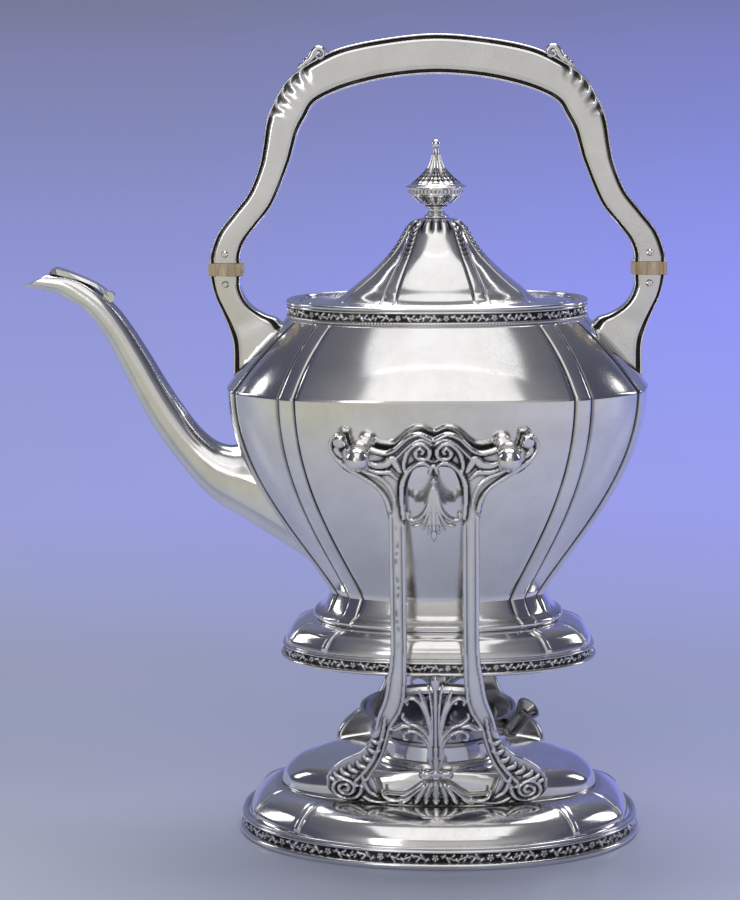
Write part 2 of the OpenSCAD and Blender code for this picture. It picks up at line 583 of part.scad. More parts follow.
bracket_out = bracket_y(stud_x, stud_h) + bracket_thick / 2;
boss_y = side_y(stud_x - shank_r, stud_h + shank_r) + 1.5;
boss_root = 7;
module stud_profile() {
    tip = bracket_out + 0.5;
    rotate_extrude($fn = 64) difference() {
        union() {
            polygon([[0, boss_y - 1], [shank_r, boss_y - 1], [shank_r, tip], [shank_r - 0.8, tip + 0.9],
                [shank_r - 0.5, tip + 2.4], [0, tip + 2.4]]);
            translate([0, tip + ball_r]) circle(r = ball_r, $fn = 64);
        }
        translate([-20, 0]) square([20, 200]);
    }
}
module stud_pair(x) {
    for (s = [-1, 1]) translate([x, 0, stud_h]) rotate([s * 90, 0, 0]) stud_profile();
}
module spout_side_studs() { color(silver) stud_pair(-stud_x); }
module handle_side_studs() { color(silver) stud_pair(stud_x); }
// Bosses soldered on the body, which the studs' shanks stand in
module stud_bosses() {
    color(silver) difference() {
        for (sx = [-1, 1], sy = [-1, 1]) translate([sx * stud_x, 0, stud_h]) rotate([sy * 90, 0, 0])
            translate([0, 0, boss_y - boss_root]) difference() {
                cylinder(r = shank_r + 1.6, h = boss_root, $fn = 64);
                translate([0, 0, boss_root - 1.2]) cylinder(r = seat_r, h = 2, $fn = 64);
            }
        lower_envelope(0.24, 1);
        shoulder_envelope();
    }
}

// Kettle

strainer_at = [[-2, -1], [-2, 0], [-2, 1], [-1, -1.5], [-1, -0.5], [-1, 0.5], [-1, 1.5], [0, -1], [0, 0], [0, 1],
    [1, -1.5], [1, -0.5], [1, 0.5], [1, 1.5]];
module kettle_body() {
    color(silver) difference() {
        loft(concat(body_outside(), body_inside()));
        for (p = strainer_at) translate([-waist_a, p[1] * 5.4, spout_mid_z + p[0] * 6])
            rotate([0, -90, 0]) cylinder(r = 1.7, h = 60, $fn = 24);
    }
}
foot_levels = [[0, 0], [0.35, 0.1], [0.7, 0.32], [0.92, 0.68], [1, 0.93]];
function foot_ring(k, inset) = let(z = mix(foot_bottom + foot_rim_h, lip_h - seat, k[0]),
    a = mix(foot_a - 0.9, lip_a - 2, k[1]), b = mix(foot_b - 0.9, lip_b - 2, k[1]))
    ring(z - inset, a - inset, b - inset, n = 2.2, flat = 0.5, lift = inset > 0 ? 0 : 0.4,
        side_t = 47, w = 2.4);
module kettle_foot() {
    outside = concat(
        [ring(foot_bottom, foot_a - 2.2, foot_b - 2.2, n = 2.15, flat = 0),
         ring(foot_bottom + foot_rim_h - 0.2, foot_a - 2.2, foot_b - 2.2, n = 2.15, flat = 0)],
        [for (k = foot_levels) foot_ring(k, 0)],
        [ring(lip_h - seat, lip_a - 3, lip_b - 3, n = 2.3)]);
    inside = concat(
        [ring(lip_h - seat, waist_a - 6, waist_b - 6, n = 2.3)],
        [ring(lip_h - seat - wall, waist_a - 6, waist_b - 6, n = 2.3)],
        [for (k = [[0.92, 0.68], [0.35, 0.1]]) foot_ring(k, wall)],
        [ring(foot_bottom + foot_rim_h, foot_a - 2.2 - wall, foot_b - 2.2 - wall, n = 2.15, flat = 0),
         ring(foot_bottom, foot_a - 2.2 - wall, foot_b - 2.2 - wall, n = 2.15, flat = 0)]);
    color(silver) loft(concat(outside, inside), closed = true);
}
module kettle_foot_border() {
    color(silver) border(foot_a - 0.7, foot_b - 0.7, foot_bottom, foot_rim_h - 0.3, 2.15, 0.7,
        foot_a - 2.2 + seat, foot_b - 2.2 + seat);
}
rim_wall = 2;
module mouth_collar() {
    h = rim_h - shoulder_h - seat;
    outside = [for (k = [[0, 0], [0.14, 0.3], [0.26, -0.4], [0.74, -0.4], [0.84, 0.4], [1, -0.1]])
        ring(shoulder_h + seat + h * k[0], mouth_a + k[1], mouth_b + k[1], n = 2.2, flat = 0.02)];
    inside = [ring(rim_h, mouth_a - rim_wall, mouth_b - rim_wall, n = 2.2, flat = 0),
        ring(lid_seat_z, mouth_a - rim_wall, mouth_b - rim_wall, n = 2.2, flat = 0),
        ring(lid_seat_z, mouth_a - rim_wall - 2.4, mouth_b - rim_wall - 2.4, n = 2.2, flat = 0),
        ring(shoulder_h + seat, mouth_a - rim_wall - 2.4, mouth_b - rim_wall - 2.4, n = 2.2, flat = 0)];
    color(silver) difference() {
        loft(concat(outside, inside), closed = true);
        // Notch that the hinge's barrel turns in
        translate([-hinge_w / 2 - 0.4, mouth_b - rim_wall - 0.5, lid_seat_z])
            cube([hinge_w + 0.8, 10, 10]);
    }
}

// Spout: upper edge, lower edge and half width at each station
spout_low = crease_h - 190.7;
spout_mid_z = 141 + spout_low;
function spout_path() = let(e = -body_a, g = spout_low, h = spout_tip_h - 229.8 - g, s = spout_reach / 86.4) [
    [e + 12, 164.5 + g, e + 42, 108 + g, spout_root_w + 1],
    [e + 6, 164.2 + g, e + 30, 118 + g, spout_root_w],
    [e + 1, 163.7 + g, e + 6, 133.4 + g, spout_root_w - 2],
    [e - 5.2 * s, 165.7 + g, e - 4.3 * s, 139.6 + g, 10.6],
    [e - 12.1 * s, 171.6 + g, e - 13.6 * s, 148.2 + g, 9],
    [e - 19.4 * s, 180.9 + g + h / 4, e - 28 * s, 166.2 + g + h / 4, 7.6],
    [e - 26.2 * s, 191.2 + g + h / 3, e - 36.4 * s, 180 + g + h / 3, 6.8],
    [e - 33.1 * s, 202.6 + g + h / 2, e - 43.8 * s, 194.5 + g + h / 2, 6.2],
    [e - 40.4 * s, 213.2 + g + h, e - 51.6 * s, 208.6 + g + h, 5.7],
    [e - 47 * s, 221.8 + g + h, e - 60.6 * s, 220.2 + g + h, 5.3],
    [e - 56 * s, 229.6 + g + h, e - 67.4 * s, 224.1 + g + h, 5],
    [e - 65 * s, 234.2 + g + h, e - 73.4 * s, 227.6 + g + h, mix(spout_tip_w, 5, 0.5)],
    [e - 75 * s, 235.4 + g + h, e - 86.4 * s, 229.8 + g + h, spout_tip_w]];
// Eight-sided section with a low ridge along the top, u to the outer edge and v across
spout_section = [[1, 0.26], [0.86, 0.62], [0.4, 0.96], [-0.35, 1], [-0.84, 0.66], [-1, 0.24],
    [-1, -0.24], [-0.84, -0.66], [-0.35, -1], [0.4, -0.96], [0.86, -0.62], [1, -0.26]];
function narrowed(p, t) = let(o = [p[0], p[1]], i = [p[2], p[3]], d = (o - i) / norm(o - i))
    [p[0] - d[0] * t, p[1] - d[1] * t, p[2] + d[0] * t, p[3] + d[1] * t, p[4] - t];
module spout() {
    outer = sweep(spout_path(), spout_section, 2);
    inner = [for (p = reverse(spline(spout_path(), 2))) station(narrowed(p, spout_wall), spout_section)];
    color(silver) difference() {
        loft(concat(outer, inner), closed = true);
        lower_envelope(0, 0.9);
    }
}
// Leaf laid along the top of the beak, ending in a small scroll
module spout_leaf() {
    e = -body_a;
    h = spout_tip_h - 229.8;
    s = spout_reach / 86.4;
    path = [[e - 74.6 * s, 235.9 + h, e - 74.2 * s, 235.5 + h, 2.6], [e - 71.6 * s, 238.4 + h, e - 71 * s, 235.2 + h, 3.6],
        [e - 62 * s, 235 + h, e - 60.6 * s, 232.5 + h, 3.2], [e - 54.8 * s, 231.8 + h, e - 53 * s, 228.8 + h, 2.6],
        [e - 50.4 * s, 228.8 + h, e - 49.2 * s, 225.4 + h, 2]];
    section = [[1, 0.2], [0.5, 0.9], [-1, 1], [-1, -1], [0.5, -0.9], [1, -0.2]];
    color(silver) difference() {
        union() {
            loft(reverse([for (p = spline(path, 2)) station(p, section)]));
            translate([e - 49.4 * s, 2, 225.6 + h]) rotate([90, 0, 0]) cylinder(r = 2.3, h = 4, $fn = 32);
        }
        loft(sweep(spout_path(), spout_section, 2));
    }
}

// Handle: outer edge, inner edge and half thickness at each station
half_t = handle_thick / 2;
// Section with a bead along the outer edge and a bevel along the inner one
handle_section = [[-1, 0.45], [-0.78, 1], [0.5, 1], [0.56, 0.86], [0.74, 1.08], [0.9, 0.94], [1, 0.4],
    [1, -0.4], [0.9, -0.94], [0.74, -1.08], [0.56, -0.86], [0.5, -1], [-0.78, -1], [-1, -0.45]];
function half_arch() = let(e = body_a, t = handle_top, d = handle_deep - 16.8,
    z0 = insulator_h + insulator_t / 2 + seat) [
    [0, t, 0, t - 16.8 - d, half_t],
    [20, t - 1.7, 18.5, t - 18.2 - d, half_t],
    [38.5, t - 5.3, 33.5, t - 21.4 - d, half_t],
    [50, t - 10.4, 44.1, t - 25.1 - d, half_t],
    [59.8, t - 17, 50, t - 28.7 - d / 2, half_t],
    [e - 23, t - 25, e - 35.6, t - 33.5, half_t],
    [e - 18.8, t - 34.5, e - 32.3, t - 39.5, half_t],
    [e - 16.8, t - 46.1, e - 30.1, t - 46.5, half_t],
    [e - 15, mix(z0, t, 0.42), e - 28, mix(z0, t, 0.434), half_t],
    [e - 10.7, mix(z0, t, 0.312), e - 21.2, mix(z0, t, 0.263), half_t],
    [e - 3.9, mix(z0, t, 0.219), e - 14.5, mix(z0, t, 0.171), half_t],
    [e + 2.2, mix(z0, t, 0.136), e - 9.3, mix(z0, t, 0.097), half_t],
    [e + 5.6, z0 + 4.2, e - 7.3, z0 + 3.9, half_t],
    [e + 5.9, z0, e - 7.2, z0, half_t]];
function flipped(path) = [for (p = path) [-p[0], p[1], -p[2], p[3], p[4]]];
tenon_x = body_a - 0.65;
tenon_w = 7;
tenon_t = 4.4;
tenon_h = 8;
pin_up = insulator_h + insulator_t / 2 + 3.9;
pin_down = insulator_h - insulator_t / 2 - 3.5;
module at_both_ends() {
    children();
    mirror([1, 0, 0]) children();
}
module mortise(z0) {
    translate([tenon_x - tenon_w / 2 - seat, -tenon_t / 2 - seat, z0])
        cube([tenon_w + 2 * seat, tenon_t + 2 * seat, tenon_h + 1]);
}
module pin_hole(z) {
    translate([tenon_x, half_t + 3, z]) rotate([90, 0, 0]) cylinder(r = pin_d / 2, h = handle_thick + 6, $fn = 32);
}
module handle_arch() {
    right = half_arch();
    path = concat(reverse(flipped([for (i = [1 : len(right) - 1]) right[i]])), right);
    rings = sweep(path, handle_section, 2);
    color(silver) difference() {
        union() {
            loft(rings);
            at_both_ends() {
                translate([46, half_t * 0.8, handle_top - 9.2]) rotate([90, 0, 0]) cylinder(r = 3.1, h = half_t * 1.6, $fn = 32);
                translate([52.6, half_t * 0.7, handle_top - 10.6]) rotate([90, 0, 0]) cylinder(r = 2.2, h = half_t * 1.4, $fn = 32);
            }
        }
        at_both_ends() {
            mortise(insulator_h + insulator_t / 2 - 1 + seat);
            pin_hole(pin_up);
        }
    }
}
function socket_path() = let(e = body_a, z0 = insulator_h - insulator_t / 2 - seat) [
    [e + 6, z0, e - 7.1, z0, half_t],
    [e + 5.1, z0 - 4.6, e - 6.9, z0 - 4.6, half_t],
    [e + 3.8, z0 - 9.2, e - 8.6, z0 - 9.4, half_t],
    [e + 1.3, z0 - 15, e - 11.9, z0 - 13.4, half_t],
    [e - 1.3, z0 - 22, e - 17, z0 - 16.4, half_t],
    [e - 2.9, z0 - 29.6, e - 22, z0 - 18.2, half_t + 0.3],
    [e - 2.6, z0 - 42.6, e - 26, z0 - 22.6, half_t + 0.6]];
module socket() {
    difference() {
        loft(sweep(socket_path(), handle_section, 2));
        mortise(insulator_h - insulator_t / 2 - tenon_h - 1);
        pin_hole(pin_down);
        shoulder_envelope();
        loft([for (z = [shoulder_h - 2, rim_h + 3]) ring(z, mouth_a + 0.5, mouth_b + 0.5, n = 2.2, flat = 0)]);
    }
}
module handle_side_socket() { color(silver) socket(); }
module spout_side_socket() { color(silver) mirror([1, 0, 0]) socket(); }
module insulators() {
    t = insulator_t;
    color(ivory) at_both_ends() difference() {
        union() {
            translate([tenon_x, 0, insulator_h - t / 2]) linear_extrude(t) offset(r = 1.6, $fn = 24)
                square([11.3, handle_thick - 2.4], center = true);
            translate([tenon_x - tenon_w / 2, -tenon_t / 2, insulator_h - t / 2 - tenon_h])
                cube([tenon_w, tenon_t, t + 2 * tenon_h]);
        }
        pin_hole(pin_up);
        pin_hole(pin_down);
    }
}
module handle_pins() {
    color(silver) at_both_ends() for (z = [pin_up, pin_down]) {
        translate([tenon_x, half_t + 0.3, z]) rotate([90, 0, 0])
            cylinder(r = pin_d / 2, h = handle_thick + 0.6, $fn = 32);
        for (s = [-1, 1]) translate([tenon_x, s * (half_t + seat), z]) rotate([-s * 90, 0, 0])
            cylinder(r1 = pin_d / 2 + 0.5, r2 = pin_d / 2 - 0.1, h = 0.7, $fn = 32);
    }
}

// Lid

lid_seat_z = rim_h - lid_rim_t - 0.6;
lid_z = lid_seat_z + 0.1;
lid_a = mouth_a - rim_wall - lid_gap;
lid_b = mouth_b - rim_wall - lid_gap;
lid_wall = 1.2;
dome_a = dome_len / 2;
dome_b = dome_depth / 2;
neck_r = 6;
dome_levels = [0, 0.05, 0.16, 0.32, 0.52, 0.72, 0.88, 1];
function dome_ring(u, inset) = let(z = mix(lid_z + lid_rim_t, dome_top, u), s = pow(1 - u, 1.9) )
    ring(z - inset, mix(neck_r + 1.2, dome_a, s * 0.86 + 0.14 * (1 - u)) - inset,
        mix(neck_r + 1.2, dome_b, s * 0.86 + 0.14 * (1 - u)) - inset, n = mix(2, 2.4, s), flat = 0.3 * s,
        lift = inset > 0 ? 0 : 0.5 * min(1, 3 * (1 - u)), side_t = 56, w = mix(2.2, 5, s));
module lid_cover() {
    outside = concat(
        [ring(lid_z, lid_a, lid_b, n = 2.2, flat = 0), ring(lid_z + lid_rim_t, lid_a, lid_b, n = 2.2, flat = 0)],
        [for (u = dome_levels) dome_ring(u, 0)]);
    inside = concat([for (u = [0.97, 0.6, 0.25]) dome_ring(u, lid_wall)],
        [ring(lid_z, dome_a - lid_wall, dome_b - lid_wall, n = 2.4, flat = 0.3)]);
    color(silver) difference() {
        loft(concat(inside, outside));
        translate([0, 0, dome_top - 6]) cylinder(r = stem_r, h = 12, $fn = 32);
    }
}
stem_r = 1.6;
bezel_out = rim_wall + 2.4 + lid_gap;
module lid_bezel() {
    color(silver) loft([
        ring(lid_z - 4, mouth_a - bezel_out, mouth_b - bezel_out, n = 2.2, flat = 0),
        ring(lid_z - seat, mouth_a - bezel_out, mouth_b - bezel_out, n = 2.2, flat = 0),
        ring(lid_z - seat, mouth_a - bezel_out - 1.2, mouth_b - bezel_out - 1.2, n = 2.2, flat = 0),
        ring(lid_z - 4, mouth_a - bezel_out - 1.2, mouth_b - bezel_out - 1.2, n = 2.2, flat = 0)],
        closed = true);
}
// Finial: share of its height and radius as a share of its widest, from the dome up
finial_profile = [[0, 0.42], [0.03, 0.42], [0.045, 0.27], [0.07, 0.27], [0.13, 0.3], [0.19, 0.5], [0.3, 0.84],
    [0.37, 0.97], [0.42, 1], [0.45, 0.95], [0.47, 0.78], [0.52, 0.5], [0.6, 0.34], [0.72, 0.21], [0.82, 0.13], [0.86, 0.11]];
module finial() {
    ball = 1.95;
    color(silver) translate([0, 0, dome_top + seat]) {
        rotate_extrude($fn = 64) polygon(concat([[0, 0]],
            [for (p = finial_profile) [p[1] * finial_r, p[0] * finial_h]], [[0, 0.86 * finial_h]]));
        translate([0, 0, finial_h - ball]) sphere(r = ball, $fn = 48);
        cylinder(r = 0.9, h = finial_h - ball, $fn = 24);
        translate([0, 0, -8]) cylinder(r = stem_r - seat, h = 8, $fn = 32);
    }
}
module finial_nut() {
    color(dark_silver) translate([0, 0, dome_top - 6.4]) difference() {
        cylinder(r = 3.6, h = 2.2, $fn = 6);
        translate([0, 0, -1]) cylinder(r = stem_r - seat, h = 5, $fn = 32);
    }
}

// Hinge at the back of the mouth: outer knuckles on the collar, middle one on the lid
hinge_w = 18;
hinge_r = 1.9;
hinge_y = mouth_b + 0.6;
hinge_z = rim_h + 0.6;
hinge_mid = 7;
module barrel(x0, x1) {
    translate([x0, hinge_y, hinge_z]) rotate([0, 90, 0]) cylinder(r = hinge_r, h = x1 - x0, $fn = 48);
}
module hinge_bore() {
    translate([-hinge_w, hinge_y, hinge_z]) rotate([0, 90, 0])
        cylinder(r = hinge_pin_d / 2 + hinge_fit, h = 2 * hinge_w, $fn = 48);
}
module hinge_mount() {
    color(silver) difference() {
        union() {
            barrel(-hinge_w / 2, -hinge_mid / 2 - 0.2);
            barrel(hinge_mid / 2 + 0.2, hinge_w / 2);
            for (x0 = [-hinge_w / 2, hinge_mid / 2 + 0.2]) translate([x0, hinge_y - 1.7, lid_seat_z + seat])
                cube([(hinge_w - hinge_mid) / 2 - 0.2, 3.1, hinge_z - lid_seat_z - 1]);
        }
        hinge_bore();
    }
}
module hinge_leaf() {
    color(silver) difference() {
        union() {
            barrel(-hinge_mid / 2, hinge_mid / 2);
            translate([-hinge_mid / 2, lid_b - 6, lid_z + lid_rim_t + seat]) cube([hinge_mid, hinge_y - lid_b + 6, 1]);
        }
        hinge_bore();
    }
}
module hinge_pin() {
    color(silver) translate([-hinge_w / 2 - 0.5, hinge_y, hinge_z]) rotate([0, 90, 0])
        cylinder(r = hinge_pin_d / 2, h = hinge_w + 1, $fn = 48);
}

stand_base();
stand_rim_border();
lamp_collar();
front_bracket();
back_bracket();
lamp_font();
lamp_gallery();
filler_tube();
wick_tube();
wick();
snuffer_cap();
snuffer_pin();
spout_side_studs();
handle_side_studs();
stud_bosses();
kettle_body();
kettle_foot();
kettle_foot_border();
mouth_collar();
spout();
spout_leaf();
spout_side_socket();
handle_side_socket();
insulators();
handle_arch();
handle_pins();
hinge_mount();
hinge_leaf();
hinge_pin();
lid_cover();
lid_bezel();
finial();
finial_nut();
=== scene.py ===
# Spirit kettle on its lamp stand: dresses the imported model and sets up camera, light and backdrop.
import bpy
import json
import math
import numpy as np
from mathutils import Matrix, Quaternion, Vector


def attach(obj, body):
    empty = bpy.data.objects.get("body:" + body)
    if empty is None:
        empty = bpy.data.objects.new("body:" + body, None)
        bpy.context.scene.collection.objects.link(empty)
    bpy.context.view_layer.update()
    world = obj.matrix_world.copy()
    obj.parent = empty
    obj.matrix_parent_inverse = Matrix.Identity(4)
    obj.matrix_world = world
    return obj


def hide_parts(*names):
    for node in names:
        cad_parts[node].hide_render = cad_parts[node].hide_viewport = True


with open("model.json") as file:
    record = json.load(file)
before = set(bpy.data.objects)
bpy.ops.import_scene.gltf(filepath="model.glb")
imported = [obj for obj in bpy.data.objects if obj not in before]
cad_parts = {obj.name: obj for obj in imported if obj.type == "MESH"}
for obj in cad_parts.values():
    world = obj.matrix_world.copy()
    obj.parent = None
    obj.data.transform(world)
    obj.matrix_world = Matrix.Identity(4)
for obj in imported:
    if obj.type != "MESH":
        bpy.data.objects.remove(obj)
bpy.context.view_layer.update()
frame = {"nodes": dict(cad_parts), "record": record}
nodes = frame["nodes"]
print("frame loaded:", len(nodes), "nodes")


# Shader helpers
def newMaterial(name):
    mat = bpy.data.materials.new(name)
    mat.use_nodes = True
    mat.node_tree.nodes.clear()
    return mat, mat.node_tree


# A node with its own settings, and numbers or sockets for its inputs
def addNode(tree, kind, place=(0, 0), **values):
    node = tree.nodes.new(kind)
    node.location = place
    for key, value in values.items():
        if hasattr(node, key):
            setattr(node, key, value)
        elif isinstance(value, bpy.types.NodeSocket):
            tree.links.new(value, node.inputs[key])
        else:
            node.inputs[key].default_value = value
    return node


def link(tree, a, b):
    tree.links.new(a, b)


# A group that takes a vector and some numbers and gives numbers
def newGroup(name, numbers, outputs):
    tree = bpy.data.node_groups.new(name, "ShaderNodeTree")
    tree.interface.new_socket("Vector", in_out="INPUT", socket_type="NodeSocketVector")
    for label, value in numbers.items():
        tree.interface.new_socket(label, in_out="INPUT", socket_type="NodeSocketFloat").default_value = value
    for label in outputs:
        tree.interface.new_socket(label, in_out="OUTPUT", socket_type="NodeSocketFloat")
    return tree, addNode(tree, "NodeGroupInput", (-900, 0)), addNode(tree, "NodeGroupOutput", (900, 0))


def mathNode(tree, operation, *values, place=(0, 0), clamp=False):
    node = addNode(tree, "ShaderNodeMath", place, operation=operation, use_clamp=clamp)
    for socket, value in zip(node.inputs, values):
        if isinstance(value, (int, float)):
            socket.default_value = value
        else:
            link(tree, value, socket)
    return node.outputs[0]


def ramp(tree, factor, low, high, place=(0, 0)):
    limits = {"From Min": low, "From Max": high}
    return addNode(tree, "ShaderNodeMapRange", place, Value=factor, **limits).outputs["Result"]


def noiseNode(tree, vector, place, **values):
    return addNode(tree, "ShaderNodeTexNoise", place, Vector=vector, **values).outputs["Fac"]


def objectPlace(tree, place):
    return addNode(tree, "ShaderNodeTexCoord", place).outputs["Object"]


# Factor is a socket, and each colour a socket or a tuple
def mixColour(tree, factor, a, b, place=(0, 0)):
    node = addNode(tree, "ShaderNodeMix", place, data_type="RGBA")
    link(tree, factor, node.inputs[0])
    for socket, value in ((node.inputs[6], a), (node.inputs[7], b)):
        if isinstance(value, tuple):
            socket.default_value = (*value, 1.0)
        else:
            link(tree, value, socket)
    return node.outputs[2]


# Ends a material: base colour, roughness as a number or a socket, and a height for the bump
def endMaterial(tree, colour, roughness, height=None, strength=0.0, distance=0.0, metal=0.0):
    values = {"Base Color": colour, "Roughness": roughness, "Metallic": metal}
    if height is not None:
        values["Normal"] = addNode(tree, "ShaderNodeBump", (-100, -300), Strength=strength, Distance=distance,
                                   Height=height).outputs[0]
    shader = addNode(tree, "ShaderNodeBsdfPrincipled", (200, 0), **values)
    addNode(tree, "ShaderNodeOutputMaterial", (500, 0), Surface=shader.outputs[0])


# Turn and stretch of the noise for each direction of scratches
scratchLines = [((0.3, 0.2, 0.5), (60, 1600, 1600)), ((0.9, -0.5, 1.4), (1500, 70, 1500)),
                ((-0.6, 1.1, -0.8), (1400, 1400, 80))]


# Fine scratches: thin streaks of stretched noise in three directions, as a height
def scratchGroup():
    tree, start, end = newGroup("fineScratches", {}, ["Height"])
    total = None
    for i, (turn, stretch) in enumerate(scratchLines):
        y = -i * 260
        vector = addNode(tree, "ShaderNodeMapping", (-700, y), Rotation=turn, Scale=stretch,
                         Vector=start.outputs["Vector"]).outputs[0]
        line = ramp(tree, noiseNode(tree, vector, (-450, y), Scale=1.0, Detail=1.0), 0.66, 0.74, (-200, y))
        total = line if total is None else mathNode(tree, "MAXIMUM", total, line, place=(50, -i * 200))
    link(tree, mathNode(tree, "MULTIPLY", total, -1.0, place=(300, 0)), end.inputs["Height"])
    return tree


# Tarnish: clouds of fine dark specks, a dark that follows the patina value, and a film over all
def tarnishGroup():
    tree, start, end = newGroup("silverTarnish", {"Patina": 0.0, "Amount": 0.5}, ["Dark", "Film"])
    vector = start.outputs["Vector"]
    film = noiseNode(tree, vector, (-650, -300), Scale=60.0, Detail=5.0, Roughness=0.65)
    patches = ramp(tree, noiseNode(tree, vector, (-650, 200), Scale=26.0, Detail=3.0), 0.52, 0.74, (-400, 200))
    dots = ramp(tree, noiseNode(tree, vector, (-650, -50), Scale=1900.0, Detail=2.0), 0.60, 0.72, (-400, -50))
    specks = mathNode(tree, "MULTIPLY", patches, dots, place=(-150, 100))
    specks = mathNode(tree, "MULTIPLY", specks, start.outputs["Amount"], place=(50, 100))
    rough = mathNode(tree, "MULTIPLY_ADD", film, 0.7, 0.65, place=(-150, -200))
    deep = mathNode(tree, "MULTIPLY", start.outputs["Patina"], rough, place=(100, -200), clamp=True)
    link(tree, mathNode(tree, "MAXIMUM", specks, deep, place=(350, 0)), end.inputs["Dark"])
    link(tree, ramp(tree, film, 0.35, 0.7, (100, -400)), end.inputs["Film"])
    return tree


scratches = scratchGroup()
tarnish = tarnishGroup()

silverSettings = {
    "colour": (0.90, 0.89, 0.87), "tarnishColour": (0.035, 0.030, 0.028), "filmColour": (0.80, 0.785, 0.765),
    "roughness": 0.10, "tarnishRoughness": 0.3, "filmRoughness": 0.06, "tarnishAmount": 0.55,
    "scratchStrength": 0.25, "scratchHeight": 0.00001,
}
lampSettings = {**silverSettings, "colour": (0.50, 0.49, 0.48), "filmColour": (0.33, 0.32, 0.31),
                "roughness": 0.16, "tarnishAmount": 0.9}


def silverMaterial(name, k):
    mat, tree = newMaterial(name)
    where = objectPlace(tree, (-1300, 0))
    patina = addNode(tree, "ShaderNodeAttribute", (-1300, -300), attribute_name="patina").outputs["Fac"]
    stain = addNode(tree, "ShaderNodeGroup", (-900, 200), node_tree=tarnish, Amount=k["tarnishAmount"],
                    Vector=where, Patina=patina)
    lines = addNode(tree, "ShaderNodeGroup", (-900, -200), node_tree=scratches, Vector=where)
    dark, film = stain.outputs["Dark"], stain.outputs["Film"]
    clean = mixColour(tree, film, k["colour"], k["filmColour"], (-550, 300))
    colour = mixColour(tree, dark, clean, k["tarnishColour"], (-300, 300))
    rough = mathNode(tree, "MULTIPLY", film, k["filmRoughness"], place=(-550, 0))
    rough = mathNode(tree, "MULTIPLY_ADD", dark, k["tarnishRoughness"], rough, place=(-300, 0))
    rough = mathNode(tree, "ADD", rough, k["roughness"], place=(-100, 0))
    endMaterial(tree, colour, rough, lines.outputs["Height"], k["scratchStrength"], k["scratchHeight"], 1.0)
    return mat


# Ivory-coloured insulators: faint lengthways grain and a yellowed tone
def ivoryMaterial():
    mat, tree = newMaterial("creamInsulator")
    stretched = addNode(tree, "ShaderNodeMapping", (-700, 0), Scale=(900, 500, 60),
                        Vector=objectPlace(tree, (-900, 0)))
    grain = noiseNode(tree, stretched.outputs[0], (-500, 0), Scale=1.0, Detail=4.0)
    colour = mixColour(tree, ramp(tree, grain, 0.35, 0.7, (-300, 0)), (0.80, 0.68, 0.46), (0.46, 0.31, 0.15),
                       (-100, 0))
    endMaterial(tree, colour, 0.38, grain, 0.3, 0.0002)
    return mat


def wickMaterial():
    mat, tree = newMaterial("cottonWick")
    weave = addNode(tree, "ShaderNodeTexVoronoi", (-600, 0), Scale=1400.0, Vector=objectPlace(tree, (-900, 0)))
    endMaterial(tree, mixColour(tree, weave.outputs["Distance"], (0.75, 0.72, 0.64), (0.30, 0.26, 0.20),
                                (-300, 0)), 0.9)
    return mat


finishes = {"silver": silverMaterial("polishedSilver", silverSettings),
            "dark_silver": silverMaterial("darkLampSilver", lampSettings),
            "ivory": ivoryMaterial(), "wick": wickMaterial()}
for part in frame["record"]["subparts"]:
    body = nodes[part["node"]]
    body.data.materials.clear()
    body.data.materials.append(finishes[part["material_slot"]])
print("finishes on all nodes")


# Puts a grid of points into a mesh: rows along the piece, columns round it, the last column next to the first.
# In a ring the last row joins the first too; otherwise one point closes the first row and one the last.
def gridPiece(name, points, body, covers=(), ring=False, patina=0.0):
    rows, cols = points.shape[:2]
    index = np.arange(rows * cols).reshape(rows, cols)
    wide = np.concatenate([index, index[:, :1]], 1)
    tall = np.concatenate([wide, wide[:1]]) if ring else wide
    faceSets = [np.stack([tall[:-1, :-1], tall[:-1, 1:], tall[1:, 1:], tall[1:, :-1]], -1).reshape(-1, 4)]
    verts = points.reshape(-1, 3)
    tone = np.broadcast_to(patina, (rows, cols)).reshape(-1)
    for end in () if ring else (0, -1):
        edge, after = index[end], np.roll(index[end], -1)
        verts = np.vstack([verts, points[end].mean(0)])
        tone = np.append(tone, tone[edge].mean())
        tip = np.full(cols, len(verts) - 1)
        faceSets.append(np.stack([tip, after, edge] if end == 0 else [tip, edge, after], -1))
    meshPiece(name, verts, faceSets, body, covers, tone)


# Signed volume from the faces' corners decides whether they all have to be turned to point outwards
def meshPiece(name, verts, faceSets, body, covers, patina):
    volume = 0.0
    for f in faceSets:
        a = verts[f[:, 0]]
        for i in range(1, f.shape[1] - 1):
            volume += np.einsum("ij,ij->i", a, np.cross(verts[f[:, i]], verts[f[:, i + 1]])).sum()
    if volume < 0:
        faceSets = [f[:, ::-1] for f in faceSets]
    counts = np.concatenate([np.full(len(f), f.shape[1]) for f in faceSets])
    corners = np.concatenate([f.reshape(-1) for f in faceSets])
    mesh = bpy.data.meshes.new(name)
    mesh.vertices.add(len(verts))
    mesh.vertices.foreach_set("co", (verts * 0.001).astype(np.float32).ravel())
    mesh.loops.add(len(corners))
    mesh.loops.foreach_set("vertex_index", corners.astype(np.int32))
    mesh.polygons.add(len(counts))
    mesh.polygons.foreach_set("loop_start", np.concatenate([[0], np.cumsum(counts)[:-1]]).astype(np.int32))
    mesh.polygons.foreach_set("loop_total", counts.astype(np.int32))
    mesh.update(calc_edges=True)
    mesh.polygons.foreach_set("use_smooth", np.ones(len(counts), bool))
    mesh.attributes.new("patina", "FLOAT", "POINT").data.foreach_set("value", patina.astype(np.float32))
    mesh.validate()
    mesh.materials.append(finishes["silver"])
    piece = bpy.data.objects.new(name, mesh)
    bpy.context.scene.collection.objects.link(piece)
    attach(piece, body)
    if covers:
        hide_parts(*covers)
    print("piece", name, len(verts), "points")


